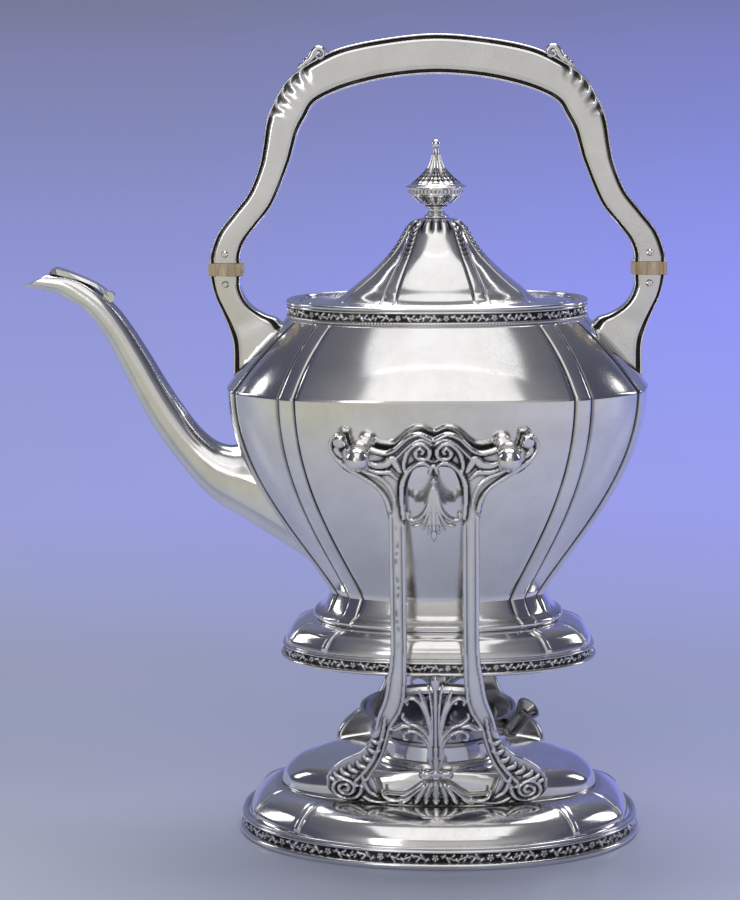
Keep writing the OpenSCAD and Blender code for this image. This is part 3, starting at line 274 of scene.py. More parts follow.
# Curve through the given rows, each stretch a cubic through its ends with slopes from the neighbours
def through(p, count):
    p = np.asarray(p, float)
    p = np.vstack([2 * p[0] - p[1], p, 2 * p[-1] - p[-2]])
    spots = np.linspace(1, len(p) - 2, count)
    i = np.minimum(spots.astype(int), len(p) - 3)
    u = (spots - i)[:, None]
    a, b, c, d = p[i - 1], p[i], p[i + 1], p[i + 2]
    return 0.5 * (2 * b + (c - a) * u + (2 * a - 5 * b + 4 * c - d) * u ** 2 + (3 * b - a - 3 * c + d) * u ** 3)


def mixed(a, b, u):
    return a + (b - a) * u


def ease(x, low, high):
    k = np.clip((x - low) / (high - low), 0, 1)
    return k * k * (3 - 2 * k)


# Rises from 0 to 1 between a and b and falls back to 0 between c and d
def hill(x, a, b, c, d):
    return ease(x, a, b) * (1 - ease(x, c, d))


# Darkness that falls with a height: level - slope * height, kept between 0 and 1
def shade(height, level, slope):
    return np.clip(level - slope * height, 0, 1)


# Half a section and the darkness of its points, closed by its mirror image
def fullSection(k):
    half = np.array(k["section"], float)
    dark = np.array([k["grooves"].get(i, 0.0) for i in range(len(half))])
    return np.vstack([half, (half * [1, -1])[-2:0:-1]]), np.concatenate([dark, dark[-2:0:-1]])


# A quarter of a panelled oval: angle of the strip next to the end, points in the end panel, groove, strip,
# groove, corner panel, groove, strip, groove and side panel, and three shares
panels = {"endAngle": 20.0, "counts": (12, 3, 9, 3, 16, 3, 9, 3, 22),
          "endFlat": 0.8, "crown": 0.45, "shelf": 0.55}


def ovalPoint(a, b, n, t):
    return np.stack([a * np.maximum(np.cos(t), 0) ** (2 / n), b * np.maximum(np.sin(t), 0) ** (2 / n)], -1)


# Rings of an oval x = a cos^(2/n) t, y = b sin^(2/n) t, cut into end, corner and side panels with raised strips
# between them. Every row has its own a, b, n, flatness, strip lift, strip angle and strip width.
def panelledRings(z, a, b, n, flat, lift, sideAngle, stripWidth, grooveWidth=0.9, grooveDepth=0.3):
    z, a, b, n, flat, lift, sideAngle, stripWidth, grooveDepth = [
        np.broadcast_to(np.asarray(v, float), np.shape(z))[:, None]
        for v in (z, a, b, n, flat, lift, sideAngle, stripWidth, grooveDepth)]

    def span(angle, width):
        step = ovalPoint(a, b, n, np.radians(angle + 0.5)) - ovalPoint(a, b, n, np.radians(angle - 0.5))
        return width / np.linalg.norm(step, axis=-1)

    endAngle = panels["endAngle"]
    de, ge = span(endAngle, stripWidth / 2), span(endAngle, grooveWidth)
    ds, gs = span(sideAngle, stripWidth / 2), span(sideAngle, grooveWidth)
    e0, e1 = endAngle - de - ge, endAngle + de + ge
    s0, s1 = sideAngle - ds - gs, sideAngle + ds + gs
    marks = [0 * a, e0, e0 + ge, e1 - ge, e1, s0, s0 + gs, s1 - gs, s1, 0 * a + 90]
    angles, parts, shares = [], [], []
    for k, count in enumerate(panels["counts"]):
        u = np.linspace(0, 1, count, endpoint=k == len(panels["counts"]) - 1)
        angles.append(marks[k] + (marks[k + 1] - marks[k]) * u)
        parts.append(np.full(count, k))
        shares.append(u)
    t = np.radians(np.concatenate(angles, 1))
    part, share = np.concatenate(parts), np.concatenate(shares)
    p = ovalPoint(a, b, n, t)
    pe0, pe1, ps0, ps1 = [ovalPoint(a, b, n, np.radians(angle)) for angle in (e0, e1, s0, s1)]
    shape = p.copy()
    end, corner, side = part == 0, part == 4, part == 8
    shape[:, end, 0] += flat * (pe0[..., 0] - p[:, end, 0]) * panels["endFlat"]
    chord = pe1 + (ps0 - pe1) * share[corner][None, :, None]
    shape[:, corner] += flat[..., None] * (chord - p[:, corner])
    crown = ps1[..., 1] + (b - ps1[..., 1]) * np.sin(share[side] * math.pi / 2)
    shape[:, side, 1] += flat * (crown - p[:, side, 1])
    grad = np.stack([(p[..., 0] / a) ** (n - 1) / a, (p[..., 1] / b) ** (n - 1) / b], -1)
    normal = grad / np.linalg.norm(grad, axis=-1, keepdims=True)
    strip, groove = np.isin(part, (2, 6)), np.isin(part, (1, 3, 5, 7))
    rise = np.zeros_like(t)
    across = 2 * share[strip] - 1
    rise[:, strip] = lift * (1 - np.abs(across) ** 5 * panels["crown"])
    inward = np.where(np.isin(part, (3, 7)), 1 - share, share)
    dip = -np.sin(np.clip(inward, 0, 1) * math.pi) * grooveDepth
    dip = dip + lift * panels["shelf"] * ease(inward, 0.45, 1.0)
    rise[:, groove] = dip[:, groove]
    dark = np.zeros_like(t)
    dark[:, groove] = np.sin(np.clip(inward[groove] * 0.8 + 0.12, 0, 1) * math.pi) * np.minimum(1, lift * 4)
    shape = shape + normal * rise[..., None]
    shape[:, 0, 1] = 0
    shape[:, -1, 0] = 0
    flip = np.array([[1, 1], [-1, 1], [-1, -1], [1, -1]])
    order = [slice(None), slice(-2, None, -1), slice(1, None), slice(-2, 0, -1)]
    xy = np.concatenate([shape[:, o] * f for o, f in zip(order, flip)], 1)
    tone = np.concatenate([dark[:, o] for o in order], 1)
    kind = np.concatenate([part[o] for o in order])
    zz = np.broadcast_to(z, xy.shape[:2])
    return np.concatenate([xy, zz[..., None]], -1), tone, kind


# Rows of an inner skin: the picked rows, drop lower and smaller by the wall, without strips
def innerRows(rows, pick, drop, wall):
    z, a, b, n, flat, angle = [np.broadcast_to(v, rows[0].shape)[pick] for v in rows]
    return z - drop, a - wall, b - wall, n, flat, 0 * z, angle


kettleBody = {
    "length": 177.0, "depth": 108.0, "crease": 193.0, "waistLength": 92.0, "waistDepth": 57.0, "waist": 105.5,
    "lip": 93.5, "lipLength": 106.5, "collarLength": 125.0, "collarDepth": 80.0, "shoulder": 221.4,
    "wall": 1.5, "strip": 6.4, "lift": 0.7, "waistAngle": 46.0, "creaseAngle": 52.5, "flat": 0.3,
    "bulge": 1.8, "shoulderPower": 1.04, "flarePower": 1.1,
}


# Rows from the lip over waist and crease to the shoulder, as one array for each value
def bodyRows(k, inset=0.0, dense=1.0):
    aB, bB, aW, bW = k["length"] / 2, k["depth"] / 2, k["waistLength"] / 2, k["waistDepth"] / 2
    aL, bL = k["lipLength"] / 2, k["lipLength"] / 2 * bW / aW
    aC, bC = k["collarLength"] / 2, k["collarDepth"] / 2
    lift = k["lift"] if inset == 0 else 0.0
    rows = []
    if inset == 0:
        for d in np.radians(np.linspace(-90, 60, 9)):
            rows.append((k["lip"] + 1.6 + 1.6 * math.sin(d), aL - 1.5 + 1.5 * math.cos(d),
                         bL - 1.5 + 1.5 * math.cos(d), 2.3, k["flat"], 0.0, k["waistAngle"]))
        for u in np.linspace(0.02, 0.97, int(16 * dense)):
            s = u ** 0.45
            rows.append((mixed(k["lip"] + 3.6, k["waist"], u), mixed(aL - 1.0, aW, s), mixed(bL - 1.0, bW, s),
                         2.35, k["flat"], lift * ease(u, 0.0, 0.5), k["waistAngle"]))
    for u in np.linspace(0, 1, int(70 * dense)) ** 0.85:
        s = math.sin(math.pi / 2 * u) ** k["flarePower"]
        rows.append((mixed(k["waist"], k["crease"], u), mixed(aW, aB, s), mixed(bW, bB, s), mixed(2.35, 2.5, s),
                     k["flat"], lift, mixed(k["waistAngle"], k["creaseAngle"], s)))
    for u in np.linspace(0.015, 1, int(34 * dense)):
        bulge = k["bulge"] * math.sin(math.pi * u)
        rows.append((mixed(k["crease"], k["shoulder"], u ** k["shoulderPower"]) - inset * 0.6,
                     mixed(aB, aC, u) + bulge, mixed(bB, bC, u) + bulge, mixed(2.5, 2.2, u),
                     mixed(k["flat"], 0.05, u ** 3),
                     lift * (1 - u ** 6), mixed(k["creaseAngle"], k["waistAngle"], u)))
    z, a, b, n, flat, up, angle = np.array(rows).T
    return z, a - inset, b - inset, n, flat, up, angle


def makeBody(k):
    outer, dark, _ = panelledRings(*bodyRows(k), k["strip"])
    rows = bodyRows(k, k["wall"], 0.35)
    inner = panelledRings(*[v[rows[0] > k["waist"] + 1] for v in rows], k["strip"], grooveDepth=0.0)[0]
    floorRow = inner[:1].copy()
    floorRow[..., 2] = k["lip"] + 6
    floorRow[..., :2] *= 0.92
    inner = np.concatenate([floorRow, inner])[::-1]
    skin = np.concatenate([outer, inner])
    seam = hill(outer[..., 2] - k["lip"], 2.2, 3.4, 2.6, 5.5)
    tone = np.maximum(np.clip(1.7 * dark, 0, 1), 0.55 * seam)
    tone = np.concatenate([tone, np.full(inner.shape[:2], 0.25)])
    gridPiece("kettleShell", skin, "kettle", ("kettle_body",), patina=tone)


makeBody(kettleBody)

kettleFoot = {
    "a": 67.25, "b": 39.5, "bottom": 76.5, "border": 7.2, "lipA": 53.25, "lipB": 32.99, "top": 93.45,
    # Height and inset from the border to the lip, as shares
    "profile": [[0, 0], [0.2, 0.035], [0.35, 0.1], [0.55, 0.2], [0.7, 0.32], [0.85, 0.52], [0.94, 0.72],
                [1, 0.93]],
    "wall": 1.5, "drop": 1.2, "strip": 2.4, "groove": 0.7, "angle": 47.0, "n": 2.2, "flat": 0.5,
}


def makeFoot(k):
    up, inset = through(k["profile"], 44).T
    z0 = k["bottom"] + k["border"]
    z = np.r_[k["bottom"], z0 - 0.2, mixed(z0, k["top"], up)]
    a, b = [np.r_[[k[wide] - 2.2] * 2, mixed(k[wide] - 0.9, k[lip] - 2, inset)]
            for wide, lip in (("a", "lipA"), ("b", "lipB"))]
    rise = np.r_[0, 0, np.sin(np.clip(up, 0, 1) * math.pi) ** 0.5]
    flat = np.r_[0, 0, np.full(len(up), k["flat"])]
    outer, dark, _ = panelledRings(z, a, b, k["n"], flat, rise * 0.9, k["angle"], k["strip"], k["groove"], 0.12)
    rows = innerRows((z, a, b, k["n"], flat, k["angle"]), slice(None, None, -4), k["drop"], k["wall"])
    inner = panelledRings(*rows, k["strip"], k["groove"], 0.0)[0]
    inner[-1, :, 2] = k["bottom"]
    tone = np.concatenate([dark * 0.35, np.full(inner.shape[:2], 0.3)])
    gridPiece("kettleFootSkin", np.concatenate([outer, inner]), "kettle", ("kettle_foot",), True, tone)


makeFoot(kettleFoot)

standBase = {
    "a": 86.0, "b": 58.0, "border": 9.6, "ledge": 20.7, "ledgeA": 68.5, "ledgeB": 39.5, "deckB": 32.5,
    "rise": 14.0, "collar": 29.4, "wall": 1.5, "angle": 47.0, "strip": 2.4, "groove": 0.8, "flat": 0.5,
    # Height and inset of the side panels and of the deck, as shares
    "panel": [[0, 0], [0.18, 0.04], [0.35, 0.12], [0.52, 0.23], [0.66, 0.36], [0.8, 0.54], [0.9, 0.72], [1, 1]],
    "deck": [[0, 0], [0.22, 0.02], [0.4, 0.05], [0.56, 0.11], [0.7, 0.2], [0.8, 0.32], [0.88, 0.45],
             [0.95, 0.7], [1, 1]],
}


def makeBase(k):
    (up, inset), (deckUp, deckIn) = through(k["panel"], 48).T, through(k["deck"], 48).T
    foot, edge = k["border"], k["ledge"] - 0.6
    z = np.r_[0, foot - 0.6, mixed(foot, k["ledge"], up), edge, edge + k["rise"] * deckUp, edge + k["rise"]]
    a = np.r_[[k["a"] - 3] * 2, mixed(k["a"] - 3.4, k["ledgeA"], inset), k["ledgeA"] - 0.4,
              mixed(k["ledgeA"] - 0.7, k["collar"] + 1, deckIn), k["collar"] - 0.6]
    b = np.r_[[k["b"] - 3] * 2, mixed(k["b"] - 3.4, k["ledgeB"], inset), k["ledgeB"] - 0.5,
              mixed(k["deckB"], k["collar"] + 1, deckIn), k["collar"] - 0.6]
    n = np.r_[2.15, 2.15, np.full(len(up), 2.2), 2.3, mixed(2.3, 2.0, deckIn), 2.0]
    plain = np.zeros(len(deckUp) + 2)
    flat = np.r_[0, 0, np.full(len(up), k["flat"]), plain]
    rise = np.r_[0, 0, np.sin(np.clip(up, 0, 1) * math.pi) ** 0.5, plain]
    outer, dark, _ = panelledRings(z, a, b, n, flat, rise, k["angle"], k["strip"], k["groove"],
                                   0.15 * (rise > 0))
    rows = innerRows((z, a, b, n, flat, k["angle"]), np.r_[len(z) - 2:1:-4, 0], k["wall"], k["wall"])
    inner = panelledRings(*rows, k["strip"], k["groove"], 0.0)[0]
    inner[-1, :, 2] = 0
    ledgeLine = np.exp(-((outer[..., 2] - k["ledge"] + 0.3) / 0.5) ** 2) * 0.35
    tone = np.concatenate([np.maximum(dark * 0.35, ledgeLine), np.full(inner.shape[:2], 0.4)])
    gridPiece("standBaseSkin", np.concatenate([outer, inner]), "stand", ("stand_base",), True, tone)


makeBase(standBase)

bracket = {
    "ledge": 20.7, "stud": 171.5, "studX": 30.0, "gapIn": 11.4, "legOut": 18.0, "slot": 3.76, "shank": 3.5,
    "thick": 4.5, "bow": 135.0, "footY": 37.0, "lean": 0.15, "cell": 0.4, "edge": 1.15, "relief": 0.62,
    "drawnStud": 167.0, "voluteX": 37.8, "voluteZ": 27.0, "voluteTurns": 2.3, "voluteWide": 7.2, "voluteHigh": 6.0,
    # The curl from the leg to the volute, as x and z
    "curl": [[25.2, 52.6], [27.4, 45.8], [31.4, 40.4], [37.0, 37.0], [42.2, 33.6], [45.0, 29.6]],
    # Knobs and bosses: x, z, radius, height, those of the crest first
    "crestKnobs": [(0, 157.6, 1.5, 1.4), (10.2, 143.9, 1.1, 1.2), (0, 163.6, 1.0, 0.8),
                   (37.2, 173.0, 2.6, 1.6)],
    "lowKnobs": [(0, 35.0, 2.5, 1.6), (5.3, 35, 2.0, 0.8), (3.3, 35, 1.6, 1.0)],
}
# Raised lines of the ornament on one half: x and z of each point in turn, half width at the ends and in the
# middle, and height. The crest with the drop is drawn for studs at the height drawnStud.
bracketLines = {
    "crest": [
        ([0.3, 174.3, 4.8, 176.6, 7.8, 176.3, 10.8, 174.7, 13.5, 172.0, 16.2, 169.8, 19, 168.9, 22.3, 169.4,
          24.6, 170.2], 0.8, 0.8, 0.75),
        ([0.6, 172.6, 3.7, 174.3, 6.6, 174.0, 9.4, 172.3, 12.1, 169.6, 14.8, 166.9, 17.5, 165.2], 0.45, 0.5,
          0.5),
        ([10.8, 160.8, 11.6, 163.5, 10.9, 167.8, 9.1, 170.9, 6.4, 172.7, 3.4, 172.4, 1.5, 170.3, 1.7, 168.0,
          3.7, 166.5, 6.2, 167.2, 7.0, 169.4, 5.4, 171.0, 3.9, 170.1, 4.4, 168.9], 0.5, 0.75, 1.0),
        ([13.2, 161.5, 16.2, 166.3, 18.6, 164.4, 22.3, 163.7, 25.6, 164.6], 0.6, 1.4, 0.7),
        ([14.2, 158.4, 17.4, 160.9, 21.6, 160.8, 25.4, 161.9], 0.4, 0.8, 0.5),
        ([17.5, 145, 18.3, 148.3, 20.0, 152.1, 23.3, 155.2, 27.6, 158.1, 32.1, 161.0, 36.4, 164.0, 39.6, 167.2,
          41.0, 170.5, 40.2, 174.0, 38.4, 175.6], 0.7, 0.8, 0.7),
        ([15.2, 147, 15.9, 151.0, 18.0, 155.6, 21.6, 158.6, 26.0, 160.4, 30.4, 162.8], 0.35, 0.6, 0.4),
        ([36.4, 167.0, 38.2, 169.4, 37.4, 172.2, 35.6, 172.6], 0.6, 1.1, 0.6),
        ([11.9, 142, 12.6, 150.5, 12.4, 155.9, 10.9, 160.2, 8.4, 163.2, 5.2, 164.9, 2.6, 164.5, 1.1, 162.6, 1.7,
          160.9], 0.7, 0.8, 1.0),
        ([0.6, 165.6, 1.9, 166.3, 3.4, 165.9], 0.3, 0.5, 0.5),
        ([0, 156.0, 0, 150, 0, 142, 0, 136.4], 0.7, 0.8, 1.0),
        ([0, 137.6, 0, 135.2, 0, 132.8], 0.5, 1.2, 0.7),
        ([0.9, 154.6, 1.7, 149.5, 3.2, 145.4, 5.6, 142.4, 8.2, 141.2, 10.1, 142.0, 10.3, 144.0], 0.6, 1.1, 1.0),
        ([0.9, 152.0, 1.5, 146.9, 3.0, 142.4, 5.2, 139.5, 8.4, 138.9], 0.5, 0.8, 0.9),
        ([0.8, 150.0, 1.2, 144.5, 2.2, 140.2, 4.4, 137.3], 0.45, 0.75, 0.9),
        ([0.6, 147.5, 0.9, 142.0, 1.5, 138.4, 2.4, 135.4], 0.4, 0.65, 0.8),
    ],
    "legs": [
        ([12.1, 143.5, 12.1, 92, 12.7, 72, 14.6, 63, 18.6, 56, 20.2, 50, 22.8, 41.6, 27.4, 33.6, 31.4, 29.0,
          34.4, 28.4], 0.5, 0.6, 0.5),
        ([17.3, 147, 17.3, 92, 18.8, 77, 20.2, 68.5, 22.8, 61, 24.4, 55], 0.5, 0.6, 0.5),
        ([20.6, 59.6, 21.8, 52.0, 25.0, 42.6, 29.6, 35.2, 33.4, 30.6, 33.0, 28.4], 0.5, 0.7, 0.6),
    ],
    "palmette": [
        ([0, 38, 0, 48, 0, 60, 0, 70, 0, 73.4], 0.9, 0.8, 1.0),
        ([0, 72.0, 0, 74.7, 0, 78.8], 0.3, 1.7, 0.9),
        ([1.2, 48, 1.3, 56, 1.5, 63, 2.0, 69, 3.0, 74.6], 0.45, 0.55, 0.75),
        ([1.6, 48, 2.4, 57, 3.6, 63.4, 5.0, 67.8, 6.6, 72.0], 0.5, 0.9, 0.9),
        ([2.0, 52, 3.4, 60.5, 5.8, 66.2, 8.4, 68.6, 10.8, 68.8, 12.0, 67.4, 11.4, 66.0], 0.5, 1.0, 0.8),
        ([1.6, 42, 2.3, 49.5, 4.2, 53.7, 7.0, 56.4, 10.2, 57.6, 13.4, 60.0, 13.2, 62.0], 0.5, 0.9, 0.9),
        ([2.0, 44, 4.2, 50.5, 7.4, 53.6, 10.4, 54.4, 12.8, 53.2, 13.0, 51.0, 11.6, 50.6], 0.5, 0.8, 0.8),
        ([10.4, 56.2, 13.6, 56.6, 16.4, 55.2, 18.8, 55.0], 0.5, 1.2, 0.6),
        ([0, 37.4, 0, 41, 0, 46.6], 1.1, 1.1, 1.0),
        ([1.6, 38.0, 2.6, 41.6, 2.8, 46.2], 0.5, 0.8, 0.8),
    ],
    "fan": [
        ([0, 31.4, 0, 26, 0, 20.9], 0.7, 1.5, 0.8),
        ([1.8, 31, 3.6, 26, 4.4, 21.1], 0.5, 1.2, 0.9),
        ([3.4, 30.8, 6.4, 26.2, 8.8, 21.3], 0.5, 1.2, 0.9),
        ([4.6, 30.4, 9.0, 26.6, 13.4, 22.2, 15.4, 21.6], 0.5, 0.9, 0.7),
        ([5.4, 30.2, 11.6, 24.8, 17.8, 22.8, 21.6, 24.6, 22.4, 27.4], 0.5, 0.9, 1.0),
        ([18.6, 22.2, 22.4, 21.4, 26.6, 21.6, 30.0, 23.6], 0.5, 0.9, 0.7),
        ([24.4, 24.4, 27.4, 26.0, 29.4, 29.0, 30.6, 33.4], 0.5, 0.9, 0.8),
    ],
}


# Distance from every grid point to a chain of points, and the share of the chain at the nearest place
def chainDistance(x, z, chain):
    best, where = np.full(x.shape, 1e9), np.zeros(x.shape)
    reach = np.concatenate([[0], np.cumsum(np.linalg.norm(np.diff(chain, axis=0), axis=1))])
    for i, (p, q) in enumerate(zip(chain[:-1], chain[1:])):
        d = q - p
        u = np.clip(((x - p[0]) * d[0] + (z - p[1]) * d[1]) / max(d @ d, 1e-9), 0, 1)
        gap = np.hypot(x - p[0] - u * d[0], z - p[1] - u * d[1])
        near = gap < best
        best[near] = gap[near]
        where[near] = ((reach[i] + u * (reach[i + 1] - reach[i])) / reach[-1])[near]
    return best, where


# Signed distance to a closed outline, positive inside, by crossings of a line to the right
def outlineDistance(x, z, chain):
    chain = np.vstack([chain, chain[:1]])
    gap, _ = chainDistance(x, z, chain)
    inside = np.zeros(x.shape, bool)
    for p, q in zip(chain[:-1], chain[1:]):
        crosses = (p[1] > z) != (q[1] > z)
        if abs(q[1] - p[1]) > 1e-9:
            inside ^= crosses & (x < p[0] + (z - p[1]) * (q[0] - p[0]) / (q[1] - p[1]))
    return np.where(inside, gap, -gap)


# Outline of the right half
def halfOuter(k):
    s, f, sx, lo, g = k["stud"], k["ledge"], k["studX"], k["legOut"], k["slot"]
    crest = through([[-4.3, s + 10], [0, s + 8.3], [4.3, s + 10], [7.9, s + 9.4], [11, s + 7.2],
                     [14.5, s + 4.3], [18.9, s + 2.2], [23, s + 3.4], [sx - k["shank"] - 1.6, s + 4.2]], 49)[6:]
    seat = np.array([[sx - g, s + 2.4], [sx - g, s - 1], [sx + g, s - 1], [sx + g, s + 3]])
    hook = through([[sx + g + 1.2, s + 6.2], [sx + 5.4, s + 8.6], [sx + 8.6, s + 7.6], [sx + 10.6, s + 3],
                    [sx + 9.2, s - 1.8], [sx + 5.1, s - 6], [sx - 0.2, s - 8.2], [sx - 4.8, s - 10.9],
                    [lo + 3.7, s - 14.6], [lo + 1.6, s - 19], [lo, s - 27]], 61)
    leg = through([[lo, s - 60], [lo, f + 70], [lo + 1.6, f + 56], [lo + 2.8, f + 48], [lo + 5.6, f + 40],
                   [lo + 7, f + 34], [lo + 9.4, f + 28.5], [lo + 13.6, f + 23.4], [lo + 20.5, f + 19.4],
                   [lo + 26, f + 14.4], [lo + 28, f + 8.6], [lo + 26.4, f + 3.6], [lo + 21, f + 0.15]], 73)
    return np.vstack([crest, seat, hook, leg, [[-1, f + 0.15]]])


# Outline of the right half of the opening between the legs
def halfGap(k):
    s, f, li = k["stud"], k["ledge"], k["gapIn"]
    arch = through([[0, s - 8.8], [1.6, s - 4.4], [4.6, s - 3.6], [7.8, s - 5], [li - 1.4, s - 10],
                    [li, s - 17]], 31)
    side = through([[li, f + 66], [li + 0.8, f + 50], [li + 3.2, f + 42], [li + 6.8, f + 36], [li + 8, f + 29],
                    [li + 11, f + 20], [li + 15.2, f + 13.4]], 43)
    return np.vstack([arch, side, [[li + 12, f + 4.4], [-1, f + 3.4], [-1, s - 8.8]]])


# Every raised line as a chain of points, with its half widths and height
def bracketStrokes(k):
    strokes = []
    for part, lines in bracketLines.items():
        lift = k["stud"] - k["drawnStud"] if part == "crest" else 0
        for xz, *size in lines:
            rows = np.reshape(xz, (-1, 2)) + [0, lift]
            strokes.append((through(rows, max(12, 5 * len(rows))), *size))
    t = np.linspace(0, 2 * k["voluteTurns"] * math.pi, 60)
    size = 1 - 0.86 * (t / t[-1]) ** 0.75
    volute = [k["voluteX"] - k["voluteWide"] * size * np.cos(t - 0.2),
              k["voluteZ"] - k["voluteHigh"] * size * np.sin(t - 0.2)]
    strokes.append((np.stack(volute, 1), 0.75, 0.6, 1.1))
    band = through(k["curl"], 60)
    for i in range(5, 55, 7):
        tip, step = band[i], band[i + 1] - band[i - 1]
        side = np.array([step[1], -step[0]]) / np.hypot(*step)
        inner = tip - side * -4.2 - step * 1.5
        lobe = through([tip + side * -0.2, (tip + inner) / 2 + step * 1.1, inner], 15)
        strokes.append((lobe, 0.35, 0.95, 0.8))
    return strokes


# One bracket as two skins on a grid in x and z: the cells inside F > 0 are kept, where F is the larger of the
# outline's signed distance and every line's half width less its distance, and points on the rim move to F = 0.
def bracketField(k):
    x, z = np.meshgrid(np.arange(0, k["legOut"] + 29, k["cell"]),
                       np.arange(k["ledge"] + 0.05, k["stud"] + 12, k["cell"]))
    field = np.minimum(outlineDistance(x, z, halfOuter(k)), -outlineDistance(x, z, halfGap(k)))
    relief, crisp = np.zeros((2,) + x.shape)
    for chain, ends, mid, high in bracketStrokes(k):
        gap, share = chainDistance(x, z, chain)
        width = ends + (mid - ends) * np.sin(np.clip(share, 0, 1) * math.pi) ** 0.8
        field = np.maximum(field, width * 1.05 - gap)
        relief = np.maximum(relief, high * np.sqrt(np.clip(1 - (gap / (width * 1.12)) ** 2, 0, 1)))
        crisp = np.maximum(crisp, np.exp(-np.clip(gap / width - 1, 0, 9) * (1.6 - high)))
    lift = k["stud"] - k["drawnStud"]
    for cx, cz, radius, high in [(c[0], c[1] + lift, *c[2:]) for c in k["crestKnobs"]] + k["lowKnobs"]:
        gap = np.hypot(x - cx, z - cz)
        field = np.maximum(field, radius - gap)
        relief = np.maximum(relief, high * np.sqrt(np.clip(1 - (gap / (radius * 1.02)) ** 2, 0, 1)))
        crisp = np.maximum(crisp, np.exp(-np.clip(gap / radius - 1, 0, 9) * 2))
    # Both halves side by side
    return [np.concatenate([sign * v[:, :0:-1], v], 1)
            for v, sign in ((x, -1), (z, 1), (field, 1), (relief, 1), (crisp, 1))]


def smoothed(v, times):
    for _ in range(times):
        p = np.pad(v, 1, mode="edge")
        v = (p[:-2, 1:-1] + p[2:, 1:-1] + p[1:-1, :-2] + p[1:-1, 2:] + 4 * p[1:-1, 1:-1]) / 8
    return v


def makeBracket(k, name, node, turned):
    x, z, field, relief, crisp = bracketField(k)
    hollow = np.clip((smoothed(relief, 30) - relief) * 5.0, 0, 1) * np.clip(crisp * 2.2, 0, 1)
    keep = field > 0.0
    cells = keep[:-1, :-1] & keep[:-1, 1:] & keep[1:, :-1] & keep[1:, 1:]
    # Rim points: members of both kept and dropped cells
    full = np.pad(cells, 1)
    touch = np.stack([full[:-1, :-1], full[:-1, 1:], full[1:, :-1], full[1:, 1:]])
    used, rim = touch.any(0), touch.any(0) & ~touch.all(0)
    gz, gx = np.gradient(field, k["cell"])
    shift = np.clip(field / np.maximum(gx ** 2 + gz ** 2, 0.25), 0, k["cell"] * 1.2)
    px = np.where(rim, x - gx * shift, x)
    pz = np.where(rim, np.maximum(z - gz * shift, k["ledge"] + 0.1), z)
    # The edge is rounded: how far the skins fall back where the rim is nearer than the width of the edge
    depth = np.where(rim, 0, np.clip(field, 0, k["edge"]))
    bevel = k["edge"] * (1 - np.sqrt(np.clip(1 - (1 - depth / k["edge"]) ** 2, 0, 1)))
    half = k["thick"] / 2
    nearLedge = np.clip((z - k["ledge"]) / 2.0, 0.25, 1)
    front = half - 0.6 - bevel * 0.8 + relief * k["relief"] * nearLedge - hollow * 0.35
    radius = k["bow"] + (z - k["ledge"]) * k["lean"]
    skins = []
    for offset in (front, -half + bevel * 0.9):
        angle = np.arcsin(np.clip(px / radius, -1, 1))
        r = radius + offset * math.cos(np.arctan(k["lean"]))
        skins.append(np.stack([r * np.sin(angle), -(k["footY"] - k["bow"] + r * np.cos(angle)), pz], -1)[used])
    verts = np.concatenate(skins)
    number = np.full(x.shape, -1)
    count = int(used.sum())
    number[used] = np.arange(count)
    # A stain down the middle of the left leg, broken along its length
    stain = 0.55 * np.exp(-((np.abs(x) - 14.9 - 0.5 * np.sin(z * 0.31)) / 0.7) ** 2) * hill(z, 88, 96, 138, 146)
    stain *= np.clip(0.55 + 0.6 * np.sin(z * 1.3 + 2.2 * np.sin(z * 0.43)), 0, 1) * (x < 0)
    # Dark between the ribs of the drop
    drop = shade(relief, 1.25, 2.2) * (np.abs(x) < 10.6) * (z < k["stud"] - 10) * (z > k["stud"] - 36)
    dark = np.clip(np.maximum(np.maximum(hollow, stain), drop), 0, 1)
    i, j = np.nonzero(cells)
    quad = np.stack([number[i, j], number[i, j + 1], number[i + 1, j + 1], number[i + 1, j]], 1)
    faces = [quad, quad[:, ::-1] + count]
    # Walls along the sides of kept cells whose neighbour isn't kept, turned so that the kept cell lies to their
    # left: neighbours below, above, to the left and to the right, and where the side starts and ends
    for near, (di, dj), (ei, ej) in ((full[:-2, 1:-1], (0, 0), (0, 1)), (full[2:, 1:-1], (1, 1), (1, 0)),
                                     (full[1:-1, :-2], (1, 0), (0, 0)), (full[1:-1, 2:], (0, 1), (1, 1))):
        i, j = np.nonzero(cells & ~near)
        p, q = number[i + di, j + dj], number[i + ei, j + ej]
        faces.append(np.stack([q, p, p + count, q + count], 1))
    if turned:
        verts = verts * np.array([-1, -1, 1])
    meshPiece(name, verts, [np.concatenate(faces)], "stand", (node,), np.r_[dark[used], np.full(count, 0.25)])


makeBracket(bracket, "frontBracketRelief", "front_bracket", False)
makeBracket(bracket, "backBracketRelief", "back_bracket", True)


# Points spread evenly along an oval, with the outward normal at each
def ovalLoop(a, b, n, count):
    t = np.linspace(0, 2 * math.pi, 6001)
    c, s = np.cos(t), np.sin(t)
    x, y = a * np.sign(c) * np.abs(c) ** (2 / n), b * np.sign(s) * np.abs(s) ** (2 / n)
    run = np.concatenate([[0], np.cumsum(np.hypot(np.diff(x), np.diff(y)))])
    at = np.linspace(0, run[-1], count, endpoint=False)
    x, y = np.interp(at, run, x), np.interp(at, run, y)
    nx = np.sign(x) * (np.abs(x) / a) ** (n - 1) / a
    ny = np.sign(y) * (np.abs(y) / b) ** (n - 1) / b
    size = np.hypot(nx, ny)
    return np.stack([x, y], -1), np.stack([nx / size, ny / size], -1), at, run[-1]


